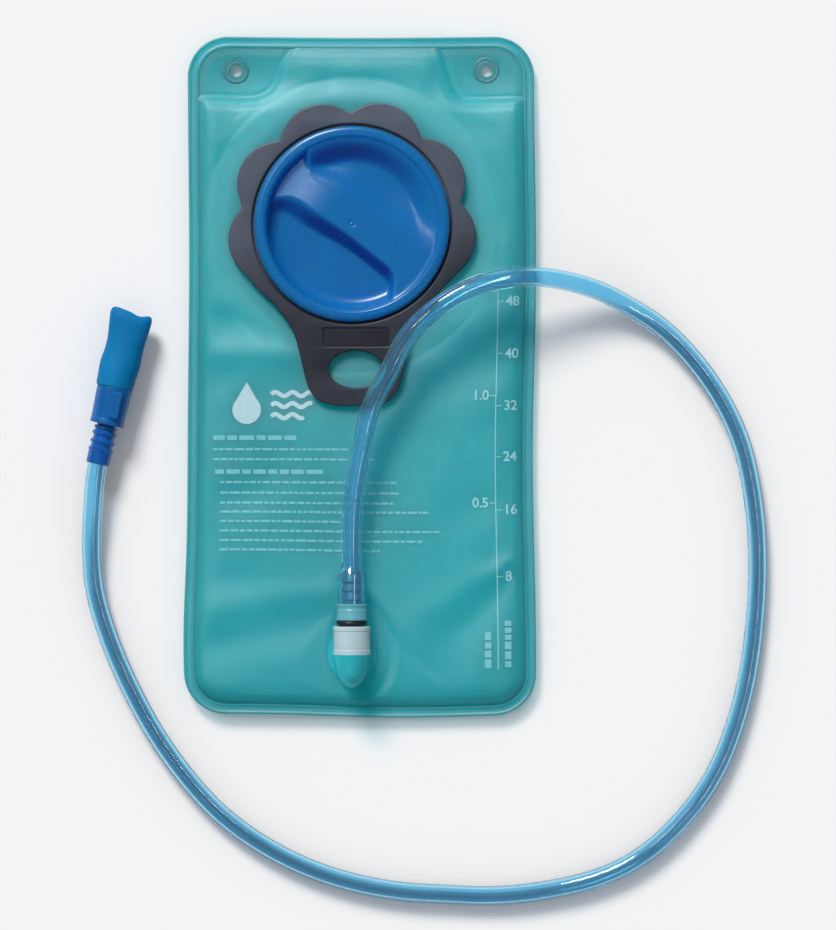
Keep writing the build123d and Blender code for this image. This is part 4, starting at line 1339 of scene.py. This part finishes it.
def build_mouthpiece():
    stations = np.concatenate([np.linspace(BITE_START, 72, 60), np.linspace(72.4, BITE_END, 16)])
    columns = [np.interp(stations, BITE_SECTIONS[:, 0], BITE_SECTIONS[:, k])
               for k in range(1, 5)]
    for values in columns:
        for _ in range(4):
            values[3:-3] = 0.5 * values[3:-3] + 0.25 * (values[2:-4] + values[4:-2])
    loops = [bite_ring(s, *section, tip=smoothstep((s - 66) / 10.0))
             for s, *section in zip(stations, *columns)]
    loops += [bite_ring(BITE_END + past, half_width, half_height, power=2, shift=0, tip=1)
              for half_width, half_height, past in SLIT]
    sheath = loops_mesh("bite_valve_sheath", loops, BITE, caps=True, sharp_angle=60)
    return register(sheath, "mouthpiece", "bite_sheath")


mouthpiece = build_mouthpiece()

# ------------------------------------------------------------------ CAD pieces kept as they are
KEPT_PIECES = {
    "port_neck": PORT, "cap_gasket": GASKET, "outlet_base": OUTLET, "outlet_socket": SOCKET,
    "hose_plug": PLUG, "outlet_oring": RUBBER, "poppet": POPPET, "poppet_seal": RUBBER,
    "poppet_spring": STEEL, "strain_relief": BOOT, "valve_stem": VALVE, "stem_oring": RUBBER,
    "valve_housing": VALVE}
for node, material in KEPT_PIECES.items():
    slots = NODES[node].data.materials
    slots.clear()
    slots.append(material.data)


# ------------------------------------------------------------------ stage, lights, camera
def build_floor():
    half, z = 4000, -0.05
    corners = [(-half, -half, z), (half, -half, z), (half, half, z), (-half, half, z)]
    floor = new_mesh("floor", corners, [(0, 1, 2, 3)], smooth=False)
    pale = bpy.data.materials.new("floor_pale")
    pale.use_nodes = True
    inputs = pale.node_tree.nodes["Principled BSDF"].inputs
    inputs["Base Color"].default_value = (0.86, 0.86, 0.865, 1)
    inputs["Roughness"].default_value = 0.9
    inputs["Specular IOR Level"].default_value = 0.1
    floor.data.materials.append(pale)


def build_world():
    """Pale sky, almost dark in reflections but not when seen through clear plastic."""
    sky_strength, mirror_dimming = 0.445, -0.43
    world = bpy.data.worlds.new("world")
    scene.world = world
    world.use_nodes = True
    tree = world.node_tree
    sky = tree.nodes["Background"]
    sky.inputs["Color"].default_value = (0.95, 0.975, 1.0, 1)
    rays = tree.nodes.new("ShaderNodeLightPath").outputs
    mirror = math_node(tree, "SUBTRACT", rays["Is Glossy Ray"], rays["Is Transmission Ray"],
                       clamp=True)
    strength = math_node(tree, "MULTIPLY_ADD", mirror, mirror_dimming, sky_strength)
    tree.links.new(strength, sky.inputs["Strength"])
    world.cycles.sampling_method = "NONE"


AIM = Vector((0.02, -0.03, 0))      # metres, the point the lights are placed from


def add_light(name, kind, offset, rotation=None, receivers=None, **settings):
    """Light at an offset in metres from AIM and, unless given a rotation, turned to it."""
    light = bpy.data.lights.new(name, kind)
    for key, value in settings.items():
        setattr(light, key, value)
    ob = bpy.data.objects.new(name, light)
    scene.collection.objects.link(ob)
    ob.location = AIM + Vector(offset)
    ob.rotation_euler = rotation or (AIM - ob.location).to_track_quat("-Z", "Y").to_euler()
    if receivers:
        ob.light_linking.receiver_collection = receivers


def collection_of(name, objects):
    collection = bpy.data.collections.new(name)
    for ob in objects:
        collection.objects.link(ob)
    return collection


def build_lights():
    shiny_nodes = ("hose_plug", "outlet_base", "outlet_socket", "strain_relief", "valve_housing",
                   "outlet_oring", "valve_stem")
    moulded = collection_of("moulded", [cap, *collar_pieces, mouthpiece, tube]
                            + [NODES[k] for k in shiny_nodes])
    tube_only = collection_of("tube_only", [tube])
    # one broad key from the upper left
    add_light("key", "SUN", (-0.40, 1.0, 0.90), energy=3.06, angle=math.radians(18))
    # small soft box high on the same side, for the shine on the moulded pieces
    add_light("softbox", "AREA", (-1.02, 0.86, 2.52), receivers=moulded,
              shape="DISK", size=0.46, energy=6)
    # narrow strip to the right, for the thin line of light along the tube
    strip_x, strip_z = 0.80, 1.8
    add_light("strip", "AREA", (strip_x, 0.05, strip_z), receivers=tube_only,
              rotation=(0.0, math.atan2(strip_x, strip_z), 0.0),
              shape="RECTANGLE", size=0.16, size_y=1.8, energy=12)


def build_camera():
    """Long lens looking straight down."""
    camera = bpy.data.cameras.new("camera")
    ob = bpy.data.objects.new("camera", camera)
    scene.collection.objects.link(ob)
    camera.lens = 200
    camera.sensor_width = 36
    camera.clip_end = 50
    ob.location = (0.0277, -0.0434, 2.532)
    scene.camera = ob


build_floor()
build_world()
build_lights()
build_camera()

scene.view_settings.view_transform = "Standard"
scene.view_settings.look = "None"
scene.cycles.use_denoising = True
scene.cycles.transparent_max_bounces = 32
scene.cycles.caustics_refractive = False
scene.cycles.caustics_reflective = False

bpy.context.view_layer.update()
